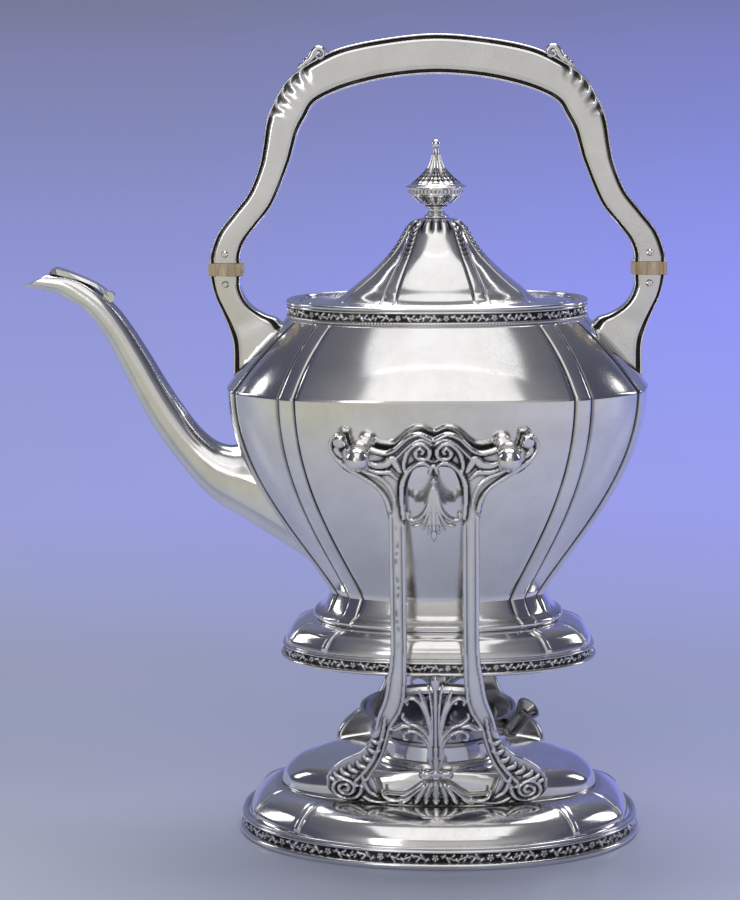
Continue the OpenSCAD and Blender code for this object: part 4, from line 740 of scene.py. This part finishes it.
# Height of one repeat of the band: a five-petalled rosette at its middle and leaves on a wavy stem beside it;
# s runs along the repeat of length l, t across the band of half width w
def scrollRelief(s, t, l, w):
    r, turn = np.hypot(s, t), np.arctan2(t, s)
    petal = np.exp(-((r - 0.52 * w) / (0.26 * w)) ** 2) * (0.6 + 0.4 * np.cos(5 * turn + 1.57))
    high = np.maximum(petal, 1.1 * np.exp(-(r / (0.2 * w)) ** 2))
    away = ease(np.abs(s), 0.95 * w, 1.35 * w)
    wave = 0.42 * w * np.sin(4 * math.pi * s / l)
    high = np.maximum(high, away * 0.75 * np.exp(-((t - wave) / (0.17 * w)) ** 2))
    for place, side, lean, size in ((0.155, 1, 0.75, 1.0), (0.235, -1, -0.85, 1.15), (0.315, 1, 0.7, 1.15),
                                    (0.40, -1, -0.75, 1.0), (0.47, 1, 0.9, 0.8)):
        for flip in (-1, 1):
            ds, dt = flip * s - place * l, flip * t - side * 0.42 * w
            p = (ds * math.cos(lean) + dt * math.sin(lean)) / (0.72 * w * size)
            q = (dt * math.cos(lean) - ds * math.sin(lean)) / (0.27 * w * size)
            high = np.maximum(high, 0.95 * np.clip(1 - p ** 2 - q ** 2, 0, 1) ** 0.5)
    return high


borders = {
    "standRimBand": {
        "body": "stand", "node": "stand_rim_border", "a": 85.1, "b": 57.1, "n": 2.15, "z": 0.5, "height": 8.7,
        "back": 2.0, "repeats": 20, "columns": 1240, "rest": True},
    "kettleFootBand": {
        "body": "kettle", "node": "kettle_foot_border", "a": 66.45, "b": 38.7, "n": 2.2, "z": 76.5,
        "height": 6.9, "back": 1.3, "repeats": 17, "columns": 1020, "rest": False},
}


# A band round an oval: its profile's rows (outward from the oval, share of the height) with count rows across
# the sunk middle, the scroll relief on those rows, which rows they are, and the points for a given offset
def bandRows(k, low, sunk, high, half):
    depth, start, end, count = sunk
    rows = np.vstack([low, np.stack([np.full(count, depth), np.linspace(start, end, count)], 1), high])
    loop, normal, at, length = ovalLoop(k["a"], k["b"], k["n"], k["columns"])
    piece = length / k["repeats"]
    s = (at + piece / 2) % piece - piece / 2
    t, inBand = np.zeros((2, len(rows), 1))
    middle = slice(len(low), len(low) + count)
    t[middle, 0], inBand[middle] = np.linspace(-half, half, count), 1
    return rows, scrollRelief(s[None, :], t, piece, half) * inBand, inBand, \
        lambda outward: loop[None] + normal[None] * outward[..., None]


# Border of a foot: bead, sunk band and bead
def makeBorder(name, k):
    low = [[-k["back"], 0.0], [0.3, 0.0], [0.7, 0.03], [0.88, 0.09], [0.9, 0.14], [0.78, 0.19], [0.35, 0.225],
           [-0.3, 0.245], [-0.72, 0.255]]
    high = [[-0.7, 0.715], [-0.25, 0.73], [0.05, 0.76], [0.1, 0.80], [-0.05, 0.84], [-0.45, 0.865],
            [-0.78, 0.875], [-0.6, 0.9], [-0.45, 0.94], [-0.6, 0.98], [-1.0, 1.0], [-k["back"], 1.0]]
    rows, relief, inBand, placed = bandRows(k, low, (-0.78, 0.27, 0.70, 15), high, 0.43 * k["height"] / 2)
    z = k["z"] + rows[:, 1] * k["height"]
    if k["rest"]:
        z[:3] = 0.0, 0.0, 0.2
    xy = placed(rows[:, :1] + relief * 0.72)
    points = np.concatenate([xy, np.broadcast_to(z[:, None, None], xy.shape[:2] + (1,))], -1)
    dark = inBand * shade(relief, 1.15, 1.7)
    # The lines between band and beads, and between the upper beads
    dark[[len(low) - 1, len(low) + 15, len(low) + 21]] = 0.85
    gridPiece(name, points, k["body"], (k["node"],), True, dark)


for name, k in borders.items():
    makeBorder(name, k)

mouthCollar = {"a": 62.5, "b": 40.0, "n": 2.2, "bottom": 221.45, "top": 228.8, "seat": 226.6, "wall": 2.0,
               "inside": -4.4, "notchX": 9.4, "repeats": 17, "columns": 1020}


# Collar round the mouth: milled line, bead and leaf band outside, a ledge for the lid inside
def makeCollar(k):
    h = k["top"] - k["bottom"]
    seat = (k["seat"] - k["bottom"]) / h
    low = [[k["inside"], 0.0], [0.05, 0.0], [0.28, 0.05], [0.3, 0.1], [0.2, 0.15], [-0.1, 0.18], [-0.4, 0.2]]
    high = [[-0.35, 0.64], [0.0, 0.66], [0.25, 0.70], [0.1, 0.75], [-0.3, 0.77], [-0.2, 0.80], [0.3, 0.84],
            [0.38, 0.90], [0.25, 0.96], [-0.2, 1.0], [-k["wall"] + 0.2, 1.0], [-k["wall"], 0.97],
            [-k["wall"], seat], [k["inside"], seat]]
    rows, relief, inBand, placed = bandRows(k, low, (-0.4, 0.22, 0.62, 11), high, 0.2 * h)
    milled = np.zeros((len(rows), 1))
    milled[2:4] = 1
    xy = placed(rows[:, :1] + relief * 0.5 - milled * 0.16 * (np.arange(k["columns"]) % 4 < 2))
    z = np.broadcast_to((k["bottom"] + rows[:, 1] * h)[:, None], xy.shape[:2]).copy()
    notch = (np.abs(xy[..., 0]) < k["notchX"]) & (xy[..., 1] > 0)
    z[notch] = np.minimum(z[notch], k["seat"])
    dark = inBand * shade(relief, 1.1, 1.6) + milled * 0.35
    dark[[len(low) - 1, len(low) + 11]] = 0.8
    dark[len(low) + 15] = 0.7
    points = np.concatenate([xy, z[..., None]], -1)
    gridPiece("mouthCollarBand", points, "kettle", ("mouth_collar",), True, dark)


makeCollar(mouthCollar)


# Carries a section (u from the inner to the outer edge, v across) along stations of outer edge, inner edge and
# half thickness: point = middle + u * half chord, y = v * half thickness
def sweptRows(path, section):
    middle, chord = (path[:, 0:2] + path[:, 2:4]) / 2, (path[:, 0:2] - path[:, 2:4]) / 2
    u, v = [np.broadcast_to(section[..., i], (len(path), section.shape[-2])) for i in (0, 1)]
    xz = middle[:, None] + chord[:, None] * u[..., None]
    return np.stack([xz[..., 0], v * path[:, 4:5], xz[..., 1]], -1)


handleShape = {
    "bodyA": 88.5, "top": 337.5, "deep": 16.8, "halfThick": 4.7, "insulator": 241.3, "insulatorT": 5.2,
    "gap": 0.02, "scrollHalf": 4.1, "ridgeStep": 5.6,
    # Half of the section from the inner edge over the flat front to the outer edge
    "section": [[-1, 0], [-1, 0.3], [-0.99, 0.5], [-0.975, 0.72], [-0.945, 0.88], [-0.91, 0.91], [-0.885, 0.87],
                [-0.87, 0.78], [-0.80, 0.75], [-0.735, 0.78], [-0.72, 0.95], [-0.69, 0.985], [-0.5, 0.99],
                [0.1, 0.99], [0.55, 0.985], [0.69, 0.98], [0.715, 0.95], [0.73, 0.77], [0.80, 0.74],
                [0.86, 0.78], [0.875, 0.87], [0.90, 0.93], [0.94, 0.92], [0.97, 0.74], [0.99, 0.5], [1, 0.3],
                [1, 0]],
    "grooves": {6: 0.3, 7: 1.0, 8: 1.0, 9: 1.0, 10: 0.3, 16: 0.3, 17: 1.0, 18: 1.0, 19: 1.0, 20: 0.3},
}


# Stations of the arch: outer edge and inner edge in x and z, and half thickness
def archPath(k):
    e, t, h = k["bodyA"], k["top"], k["halfThick"]
    z0 = k["insulator"] + k["insulatorT"] / 2 + k["gap"]
    at = lambda share: z0 + (t - z0) * share
    rows = [[0, t, 0, t - k["deep"]], [20, t - 1.7, 18.5, t - 18.2], [38.5, t - 5.3, 33.5, t - 21.4],
            [50, t - 10.4, 44.1, t - 25.1], [59.8, t - 17, 50, t - 28.7], [e - 23, t - 25, e - 35.6, t - 33.5],
            [e - 18.8, t - 34.5, e - 32.3, t - 39.5], [e - 16.8, t - 46.1, e - 30.1, t - 46.5],
            [e - 15, at(0.42), e - 28, at(0.434)], [e - 10.7, at(0.312), e - 21.2, at(0.263)],
            [e - 3.9, at(0.219), e - 14.5, at(0.171)], [e + 2.2, at(0.136), e - 9.3, at(0.097)],
            [e + 5.6, z0 + 4.2, e - 7.3, z0 + 3.9], [e + 5.9, z0, e - 7.2, z0]]
    right = np.insert(rows, 4, h, 1)
    left = right[:0:-1] * [-1, 1, -1, 1, 1]
    return through(np.vstack([left, right]), 330)


def makeHandle(k):
    path = archPath(k)
    section, dark = fullSection(k)
    run = np.concatenate([[0], np.cumsum(np.hypot(*np.diff(path[:, :2], axis=0).T))])
    # Leaves on the two corners: slanting ridges over a dark ground where the groove widens
    corner = ease(np.abs(path[:, 0]), 52, 56) * ease(path[:, 1], 303, 309)
    shape = np.broadcast_to(section, (len(path),) + section.shape).copy()
    u = section[None, :, 0]
    lobes = np.abs(np.sin(math.pi * (np.abs(run - run[-1] / 2)[:, None] + 7 * u) / k["ridgeStep"])) ** 4
    leaf = corner[:, None] * hill(u, 0.45, 0.66, 0.86, 0.88)
    shape[..., 1] = shape[..., 1] * (1 - leaf) + np.sign(section[None, :, 1]) * (0.78 + 0.2 * lobes) * leaf
    tone = dark[None, :] * (1 - leaf) + leaf * shade(lobes, 1.2, 1.6)
    gridPiece("handleArch", sweptRows(path, shape), "kettle", ("handle_arch",), patina=tone)
    # The scrolls on top of the corners: x, z and half width along one of them
    turn = np.linspace(0, 2 * math.pi, 20, endpoint=False)
    pill = np.stack([np.cos(turn), np.sign(np.sin(turn)) * np.abs(np.sin(turn)) ** 0.4], 1)
    t = k["top"]
    scroll = [[56.5, t - 14.0, 0.6], [55.2, t - 12.7, 1.2], [54.0, t - 11.9, 1.0], [52.9, t - 10.8, 1.5],
              [51.6, t - 10.0, 1.3], [50.6, t - 8.6, 1.7], [50.0, t - 7.2, 1.4], [48.8, t - 5.9, 1.2],
              [47.2, t - 5.7, 1.1], [45.9, t - 6.8, 1.05], [45.6, t - 8.4, 1.0], [46.6, t - 9.8, 0.9],
              [48.1, t - 9.8, 0.85], [48.9, t - 8.6, 0.9], [48.2, t - 7.6, 1.0], [47.3, t - 7.9, 0.9]]
    p = through(scroll, 60)
    slope = np.gradient(p[:, :2], axis=0)
    side = np.stack([-slope[:, 1], slope[:, 0]], 1) / np.linalg.norm(slope, axis=1, keepdims=True)
    middle, wide = p[:, :2], side * p[:, 2:3]
    rows = np.concatenate([middle + wide, middle - wide, np.full((60, 1), k["scrollHalf"])], 1)
    dark = 0.75 * (np.abs(pill[:, 1]) < 0.6)
    for name, sign in (("handleScrollRight", 1), ("handleScrollLeft", -1)):
        gridPiece(name, sweptRows(rows, pill) * [sign, 1, 1], "kettle", patina=dark)


makeHandle(handleShape)


# Height of the body's shoulder over a place, by its rows from crease to collar
def shoulderHeight(x, y):
    k = kettleBody
    u = np.linspace(0, 1, 60)
    a = k["length"] / 2 + (k["collarLength"] - k["length"]) / 2 * u + k["bulge"] * np.sin(math.pi * u)
    z = k["crease"] + (k["shoulder"] - k["crease"]) * u ** k["shoulderPower"]
    return np.interp(np.abs(x) * (1 + 0.5 * (y / 47.0) ** 2), a[::-1], z[::-1])


def makeSocket(k, name, node, sign):
    e, h = k["bodyA"], k["halfThick"]
    z0 = k["insulator"] - k["insulatorT"] / 2 - k["gap"]
    rows = [[e + 6, z0, e - 7.1, z0, h], [e + 5.1, z0 - 4.6, e - 6.9, z0 - 4.6, h],
            [e + 3.8, z0 - 9.2, e - 8.6, z0 - 9.4, h], [e + 1.3, z0 - 15, e - 11.9, z0 - 13.4, h],
            [e - 1.3, z0 - 22, e - 17, z0 - 16.4, h], [e - 2.9, z0 - 29.6, e - 22, z0 - 18.2, h + 0.3],
            [e - 2.6, z0 - 42.6, e - 26, z0 - 22.6, h + 0.6]]
    section, dark = fullSection(k)
    points = sweptRows(through(rows, 90), section)
    # Where it would dip into the shoulder, it follows the shoulder just below its surface
    ground = shoulderHeight(points[..., 0], points[..., 1]) - 0.9
    sunk = points[..., 2] < ground
    points[..., 2] = np.where(sunk & (np.abs(points[..., 0]) < e - 0.5), ground, points[..., 2])
    points[..., 0] *= sign
    gridPiece(name, points, "kettle", (node,), patina=dark)


makeSocket(handleShape, "handleSideSocket", "handle_side_socket", 1)
makeSocket(handleShape, "spoutSideSocket", "spout_side_socket", -1)

spoutShape = {
    "bodyA": 88.5, "low": 2.3, "tip": 234.0, "drawnTip": 229.8, "reach": 85.5, "drawnReach": 86.4, "root": 14.0,
    "tipWidth": 4.6, "wall": 1.3,
    "section": [[1.0, 0], [1.03, 0.12], [0.97, 0.24], [0.93, 0.33], [0.90, 0.5], [0.84, 0.64], [0.66, 0.82],
                [0.42, 0.965], [0.36, 0.985], [0.1, 1.0], [-0.2, 1.0], [-0.34, 0.985], [-0.42, 0.95],
                [-0.64, 0.8], [-0.83, 0.66], [-0.87, 0.6], [-0.94, 0.42], [-0.99, 0.2], [-1.0, 0]],
    "grooves": {2: 0.55, 3: 0.35, 5: 0.25, 12: 0.2},
}


# Stations of the spout: upper edge and lower edge in x and z, and half width
def spoutPath(k):
    e, g, s = -k["bodyA"], k["low"], k["reach"] / k["drawnReach"]
    h = k["tip"] - k["drawnTip"] - g
    rows = [[e + 12, 164.5 + g, e + 42, 108 + g, k["root"] + 1], [e + 6, 164.2 + g, e + 30, 118 + g, k["root"]],
            [e + 1, 163.7 + g, e + 6, 133.4 + g, k["root"] - 2],
            [e - 5.2 * s, 165.7 + g, e - 4.3 * s, 139.6 + g, 10.6],
            [e - 12.1 * s, 171.6 + g, e - 13.6 * s, 148.2 + g, 9],
            [e - 19.4 * s, 180.9 + g + h / 4, e - 28 * s, 166.2 + g + h / 4, 7.6],
            [e - 26.2 * s, 191.2 + g + h / 3, e - 36.4 * s, 180 + g + h / 3, 6.8],
            [e - 33.1 * s, 202.6 + g + h / 2, e - 43.8 * s, 194.5 + g + h / 2, 6.2],
            [e - 40.4 * s, 213.2 + g + h, e - 51.6 * s, 208.6 + g + h, 5.7],
            [e - 47 * s, 221.8 + g + h, e - 60.6 * s, 220.2 + g + h, 5.3],
            [e - 56 * s, 229.6 + g + h, e - 67.4 * s, 224.1 + g + h, 5],
            [e - 65 * s, 234.2 + g + h, e - 73.4 * s, 227.6 + g + h, (k["tipWidth"] + 5) / 2],
            [e - 75 * s, 235.4 + g + h, e - 86.4 * s, 229.8 + g + h, k["tipWidth"]]]
    return np.array(rows)


# Half length of the kettle's body at a height, from its rows below the crease
def bodyReach(z):
    k = kettleBody
    u = np.clip((z - k["waist"]) / (k["crease"] - k["waist"]), 0, 1)
    s = np.sin(math.pi / 2 * u) ** k["flarePower"]
    return (k["waistLength"] + (k["length"] - k["waistLength"]) * s) / 2


def makeSpout(k):
    section, dark = fullSection(k)
    outer = sweptRows(through(spoutPath(k), 170), section)
    inside = through(spoutPath(k), 60)
    chord = inside[:, :2] - inside[:, 2:4]
    step = chord / np.linalg.norm(chord, axis=1, keepdims=True) * k["wall"]
    inside = np.concatenate([inside[:, :2] - step, inside[:, 2:4] + step, inside[:, 4:] - k["wall"]], 1)
    inner = sweptRows(inside, section)[::-1]
    points = np.concatenate([outer, inner])
    # The root ends just inside the body's skin
    limit = -bodyReach(points[..., 2]) * (1 - 0.42 * (points[..., 1] / 50.0) ** 2) + 1.1
    points[..., 0] = np.minimum(points[..., 0], limit)
    tone = np.concatenate([np.broadcast_to(dark, outer.shape[:2]), np.full(inner.shape[:2], 0.4)])
    gridPiece("spoutSkin", points, "kettle", ("spout",), True, tone)


makeSpout(spoutShape)

lidShape = {
    "a": 60.0, "b": 37.5, "bottom": 226.7, "rim": 1.6, "top": 262.0, "wall": 1.2, "strip": 4.6, "groove": 0.6,
    # Height as a share of the dome, half length, half depth, exponent, flatness, strip angle
    "dome": [
        [0.0, 42.0, 27.0, 2.4, 0.2, 66], [0.05, 39.5, 25.4, 2.4, 0.25, 66], [0.12, 36.6, 23.6, 2.4, 0.3, 65],
        [0.2, 33.0, 21.4, 2.4, 0.3, 63], [0.32, 28.0, 18.6, 2.35, 0.3, 60], [0.44, 23.6, 16.2, 2.3, 0.3, 57],
        [0.56, 19.6, 14.2, 2.2, 0.25, 54], [0.7, 16.0, 12.4, 2.15, 0.2, 51], [0.82, 13.6, 11.0, 2.1, 0.12, 49],
        [0.91, 11.8, 9.9, 2.05, 0.06, 48], [0.97, 9.6, 8.6, 2.0, 0, 47], [1.0, 6.6, 6.2, 2.0, 0, 47]],
}


def makeLid(k):
    base = k["bottom"] + k["rim"]
    d = through(k["dome"], 84)
    z = base + (k["top"] - base) * np.clip(d[:, 0], 0, 1)
    a, b, n, flat, angle = d[:, 1:].T
    share = np.clip(d[:, 0], 0, 1)
    lift = 0.75 * hill(share, 0.05, 0.14, 0.86, 0.95)
    rim = np.array([[k["bottom"], -0.3], [k["bottom"] + 0.3, 0], [base - 0.4, 0], [base, -0.4], [base, -2.6],
                    [base - 0.35, -3.0], [base - 0.35, -3.5], [base, -3.9], [base + 0.1, -8.0]])
    plain = np.zeros(len(rim))
    heights = np.r_[rim[:, 0], z[:-1] + 0.1, k["top"]]
    widths = k["strip"] * np.r_[plain + 1, 0.5 + 0.5 * np.clip(a / 34, 0, 1)]
    outer, dark, kind = panelledRings(heights, np.r_[k["a"] + rim[:, 1], a], np.r_[k["b"] + rim[:, 1], b],
                                      np.r_[plain + 2.2, n], np.r_[plain, flat], np.r_[plain, lift],
                                      np.r_[plain + 66.0, angle], widths, k["groove"], 0.3)
    # Acanthus on the strips near the neck: chevron lobes that fade out downwards
    level = np.clip((outer[..., 2] - base) / (k["top"] - base), 0, 1)
    onStrip = np.isin(kind, (2, 6))[None, :]
    neck = hill(level, 0.80, 0.9, 0.975, 0.99)
    turn = np.arctan2(outer[..., 1], outer[..., 0])
    lobes = 0.5 + 0.5 * np.sin(level * 115 + 2.0 * np.cos(turn * 24))
    leaf = onStrip * hill(level, 0.45, 0.62, 0.93, 0.97)
    collar = 0.5 + 0.5 * np.cos(turn * 16)
    rise = leaf * (lobes - 0.3) * 0.55 + neck * (collar - 0.4) * 0.5
    radial = outer[..., :2] / np.maximum(np.linalg.norm(outer[..., :2], axis=-1, keepdims=True), 1e-6)
    outer[..., :2] += radial * rise[..., None]
    dark = np.maximum(dark * 0.9, np.maximum(leaf * shade(lobes, 1.1, 1.5), neck * shade(collar, 1.0, 1.4)))
    dark[4:7] = np.maximum(dark[4:7], np.array([0.2, 0.9, 0.7])[:, None])
    back = slice(None, None, -5)
    rows = innerRows((z, a, b, n, flat, angle), back, k["wall"], k["wall"])
    inner = panelledRings(*rows, widths[len(rim):][back], k["groove"], 0.0)[0]
    inner = inner[inner[:, 0, 2] > k["bottom"] + 0.2]
    # Both skins end in a small ring at the finial's hole, and the inner one at the bottom of the rim
    skin = np.concatenate([outer, outer[-1:] * [0.3, 0.3, 1], inner[:1] * [0.3, 0.3, 1], inner, inner[-1:]])
    skin[-1, :, 2] = k["bottom"]
    inside = np.full((len(inner) + 2, dark.shape[1]), 0.2)
    tone = np.concatenate([dark, inside[:1] * 0 + 0.5, inside])
    gridPiece("lidDome", skin, "lid", ("lid_cover",), True, tone)


makeLid(lidShape)

finialShape = {
    "bottom": 262.02, "height": 32.35, "widest": 12.66,
    # Radius and height above the dome
    "profile": [
        [2.6, 0.0], [4.9, 0.15], [5.25, 0.6], [5.1, 1.1], [4.3, 1.6], [3.55, 2.3], [3.5, 3.2], [3.75, 4.0],
        [4.55, 4.5], [4.7, 4.9], [4.4, 5.2], [6.3, 6.0], [8.8, 7.5], [11.0, 9.4], [11.7, 10.2], [11.75, 10.5],
        [11.9, 10.9], [12.1, 11.6], [12.2, 12.2], [12.55, 12.5], [12.65, 12.9], [12.4, 13.3], [11.6, 13.6],
        [9.6, 14.7], [7.5, 16.3], [5.2, 18.5], [3.5, 20.8], [2.5, 23.0], [1.85, 25.2], [1.35, 27.0],
        [1.1, 28.0], [1.15, 28.6], [1.75, 29.4], [1.98, 30.4], [1.7, 31.4], [0.95, 32.1], [0.25, 32.34]],
}


def makeFinial(k):
    p = through(k["profile"], 200)
    turn = np.linspace(0, 2 * math.pi, 192, endpoint=False)[None, :]
    r, z = p[:, :1], p[:, 1:]
    flute, cups = np.cos(8 * turn), np.abs(np.cos(7 * turn))
    spire = hill(z, 13.9, 15.2, 25.0, 27.5)
    leaf = hill(z, 13.9, 14.8, 18.5 + 1.6 * flute, 20.2 + 1.6 * flute)
    veins = np.cos(24 * turn) * 0.5 + 0.5 * np.cos(z * 4.2)
    bowl = hill(z, 5.6, 6.6, 9.2, 9.9)
    beads = hill(z, 10.55, 10.85, 11.9, 12.15)
    bead = np.abs(np.sin(turn * 22)) ** 0.7
    rise = spire * flute * 0.09 * np.minimum(r, 5) + leaf * veins * 0.22 + bowl * (cups - 0.4) * 0.55
    rise = rise + beads * (bead - 1.0) * 0.5
    radius = np.minimum(r + rise, k["widest"])
    tone = np.maximum(leaf * shade(veins, 0.75, 0.9), bowl * shade(cups, 0.95, 1.3))
    tone = np.maximum(tone, beads * shade(bead, 1.15, 1.3))
    tone = np.maximum(tone, 0.45 * spire * (flute < -0.3))
    # Dark in the two necks of the profile
    tone = np.maximum(tone, 0.8 * np.exp(-((z - 5.25) / 0.25) ** 2) + 0.5 * np.exp(-((z - 2.7) / 0.5) ** 2))
    height = k["bottom"] + np.broadcast_to(z, radius.shape) * (k["height"] / k["profile"][-1][1])
    points = np.stack([radius * np.cos(turn), radius * np.sin(turn), height], -1)
    gridPiece("finialSpire", points, "lid", ("finial",), patina=tone)


makeFinial(finialShape)

studio = {
    "front": -3.0, "depth": 2.6, "bend": 0.8, "height": 3.2, "width": 5.0,
    # Colours along the sheet: metres of y plus five times z, then red, green and blue as shown. They hold painted
    # light: the sheet as it looks lit, darker towards the top
    "sweep": [(-1.6, 0.50, 0.50, 0.51), (-0.4, 0.53, 0.54, 0.60), (-0.09, 0.494, 0.532, 0.700),
              (0.06, 0.381, 0.402, 0.606), (0.16, 0.347, 0.386, 0.594), (0.27, 0.342, 0.371, 0.600),
              (0.42, 0.341, 0.377, 0.720), (0.66, 0.331, 0.352, 0.830), (1.4, 0.305, 0.335, 0.85),
              (2.1, 0.290, 0.316, 0.86), (2.9, 0.255, 0.285, 0.74), (3.6, 0.225, 0.250, 0.60),
              (4.2, 0.210, 0.225, 0.52), (4.8, 0.175, 0.195, 0.37)],
    "leftTint": (1.0, 0.99, 0.80), "rightTint": (1.0, 1.0, 1.10),
}


# One sheet, flat on the table and bent up behind it along a quarter circle
def backdrop(s):
    bend = s["bend"]
    flat = np.linspace(s["front"], s["depth"] - bend, 30)
    turn = np.linspace(0, math.pi / 2, 24)[1:]
    up = np.linspace(bend, s["height"], 12)[1:]
    y = np.r_[flat, s["depth"] - bend + bend * np.sin(turn), np.full(len(up), s["depth"])][:, None]
    z = np.r_[np.zeros(len(flat)), bend * (1 - np.cos(turn)), up][:, None]
    points = np.stack(np.broadcast_arrays(np.linspace(-s["width"], s["width"], 9), y, z), -1)
    index = np.arange(points.shape[0] * points.shape[1]).reshape(points.shape[:2])
    faces = np.stack([index[:-1, :-1], index[:-1, 1:], index[1:, 1:], index[1:, :-1]], -1).reshape(-1, 4)
    mesh = bpy.data.meshes.new("backdrop")
    mesh.from_pydata(points.reshape(-1, 3).tolist(), [], faces.tolist())
    mesh.polygons.foreach_set("use_smooth", np.ones(len(faces), bool))
    sheet = bpy.data.objects.new("backdrop", mesh)
    bpy.context.scene.collection.objects.link(sheet)
    mat, tree = newMaterial("paperSweep")
    where = objectPlace(tree, (-1500, 0))
    split = addNode(tree, "ShaderNodeSeparateXYZ", (-1300, 0), Vector=where)
    along = mathNode(tree, "MULTIPLY_ADD", split.outputs["Z"], 5.0, split.outputs["Y"], place=(-1100, 0))
    first, last = s["sweep"][0][0], s["sweep"][-1][0]
    bands = addNode(tree, "ShaderNodeValToRGB", (-700, 0))
    stops = bands.color_ramp.elements
    for i, (place, *colour) in enumerate(s["sweep"]):
        stop = stops[i] if i < 2 else stops.new(1.0)
        stop.position = (place - first) / (last - first)
        stop.color = (*colour, 1.0)
    link(tree, ramp(tree, along, first, last, (-900, 0)), bands.inputs[0])
    side = ramp(tree, split.outputs["X"], -0.45, 0.45, (-900, -300))
    tint = mixColour(tree, side, s["leftTint"], s["rightTint"], (-600, -300))
    colour = addNode(tree, "ShaderNodeMix", (-350, 0), data_type="RGBA", blend_type="MULTIPLY")
    colour.inputs[0].default_value = 1.0
    link(tree, bands.outputs["Color"], colour.inputs[6])
    link(tree, tint, colour.inputs[7])
    shown = colour.outputs[2]
    paint = addNode(tree, "ShaderNodeBsdfPrincipled", (250, 200), Roughness=0.35, **{"Base Color": shown})
    # Glow in the set colours: painted light on the sheet, seen by camera, glossy and transmission rays
    glow = addNode(tree, "ShaderNodeEmission", (250, -200), Color=shown)
    path = addNode(tree, "ShaderNodeLightPath", (250, 500))
    seen = path.outputs["Is Camera Ray"]
    for i, kind in enumerate(("Is Glossy Ray", "Is Transmission Ray")):
        seen = mathNode(tree, "MAXIMUM", seen, path.outputs[kind], place=(450 + 100 * i, 400))
    # The sheet is lit paint near the kettle. Further out it glows in these colours for camera, glossy and
    # transmission rays: painted light that shows the sheet as lit, darker towards the top
    reach = addNode(tree, "ShaderNodeVectorMath", (-350, 400), operation="LENGTH")
    link(tree, where, reach.inputs[0])
    far = ramp(tree, reach.outputs["Value"], 0.16, 0.75, (250, 0))
    both = addNode(tree, "ShaderNodeMixShader", (850, 0))
    for i, socket in enumerate((mathNode(tree, "MULTIPLY", seen, far, place=(650, 300)),
                                paint.outputs[0], glow.outputs[0])):
        link(tree, socket, both.inputs[i])
    addNode(tree, "ShaderNodeOutputMaterial", (1050, 0), Surface=both.outputs[0])
    mesh.materials.append(mat)


backdrop(studio)

softBoxes = [
    # name, place, aim, width, height, power
    ("frontSky", (0.03, -0.70, 1.34), (0, 0, 0.2), 1.05, 0.80, 2.15),
    ("frontBand", (0.03, -1.35, 1.06), (0, 0, 0.2), 1.05, 0.60, 1.45),
    ("topLight", (0.0, 0.50, 1.70), (0, 0, 0), 1.4, 1.0, 21.0),
    ("frontFill", (-0.75, -2.2, 0.70), (0, 0, 0.15), 0.45, 0.9, 3.0),
    ("leftBox", (-1.8, 0.3, 0.9), (0, 0, 0.2), 0.3, 0.9, 3.4),
    ("rightBox", (1.8, 0.4, 0.9), (0, 0, 0.2), 0.3, 0.9, 3.4),
]
for name, place, aim, wide, high, power in softBoxes:
    lamp = bpy.data.lights.new(name, "AREA")
    lamp.shape, lamp.size, lamp.size_y, lamp.energy = "RECTANGLE", wide, high, power
    holder = bpy.data.objects.new(name, lamp)
    holder.location = place
    holder.rotation_euler = (Vector(aim) - Vector(place)).to_track_quat("-Z", "Y").to_euler()
    bpy.context.scene.collection.objects.link(holder)

# The room as the silver mirrors it: grey in front, darker to the sides, a paler ceiling
world = bpy.data.worlds.new("studioRoom")
world.use_nodes = True
tree = world.node_tree
tree.nodes.clear()
direction = addNode(tree, "ShaderNodeSeparateXYZ", (-900, 0))
link(tree, addNode(tree, "ShaderNodeTexCoord", (-1100, 0)).outputs["Generated"], direction.inputs[0])
upward = ramp(tree, direction.outputs["Z"], 0.05, 0.75, (-700, 0))
roomColour = mixColour(tree, upward, (0.59, 0.585, 0.58), (0.22, 0.22, 0.24), (-450, 0))
sideways = mathNode(tree, "ABSOLUTE", direction.outputs["X"], place=(-700, -200))
sideways = ramp(tree, sideways, 0.20, 0.75, (-450, -200))
roomColour = mixColour(tree, sideways, roomColour, (0.075, 0.08, 0.12), (-200, 0))
air = addNode(tree, "ShaderNodeBackground", (250, 0), Strength=1.0, Color=roomColour)
addNode(tree, "ShaderNodeOutputWorld", (450, 0), Surface=air.outputs[0])
bpy.context.scene.world = world

# Degrees and metres. The focal length is in pixels of the picture, whose long side spans the sensor's mm.
view = {"turn": 1.483, "distance": 0.9309, "height": 0.3228, "aimX": -0.0284, "aimZ": 0.1645, "focal": 2238,
        "roll": -0.52, "longSide": 900.0, "sensor": 36.0}
lens = bpy.data.cameras.new("camera")
lens.lens = view["focal"] * view["sensor"] / view["longSide"]
lens.clip_start, lens.clip_end = 0.05, 50.0
camera = bpy.data.objects.new("camera", lens)
turn = math.radians(view["turn"])
camera.location = (view["distance"] * math.sin(turn), -view["distance"] * math.cos(turn), view["height"])
aim = Vector((view["aimX"], 0, view["aimZ"]))
look = (aim - camera.location).to_track_quat("-Z", "Y") @ Quaternion((0, 0, 1), math.radians(view["roll"]))
camera.rotation_euler = look.to_euler()
bpy.context.scene.collection.objects.link(camera)
bpy.context.scene.camera = camera
bpy.context.scene.view_settings.view_transform = "Standard"
print("studio and camera ready")
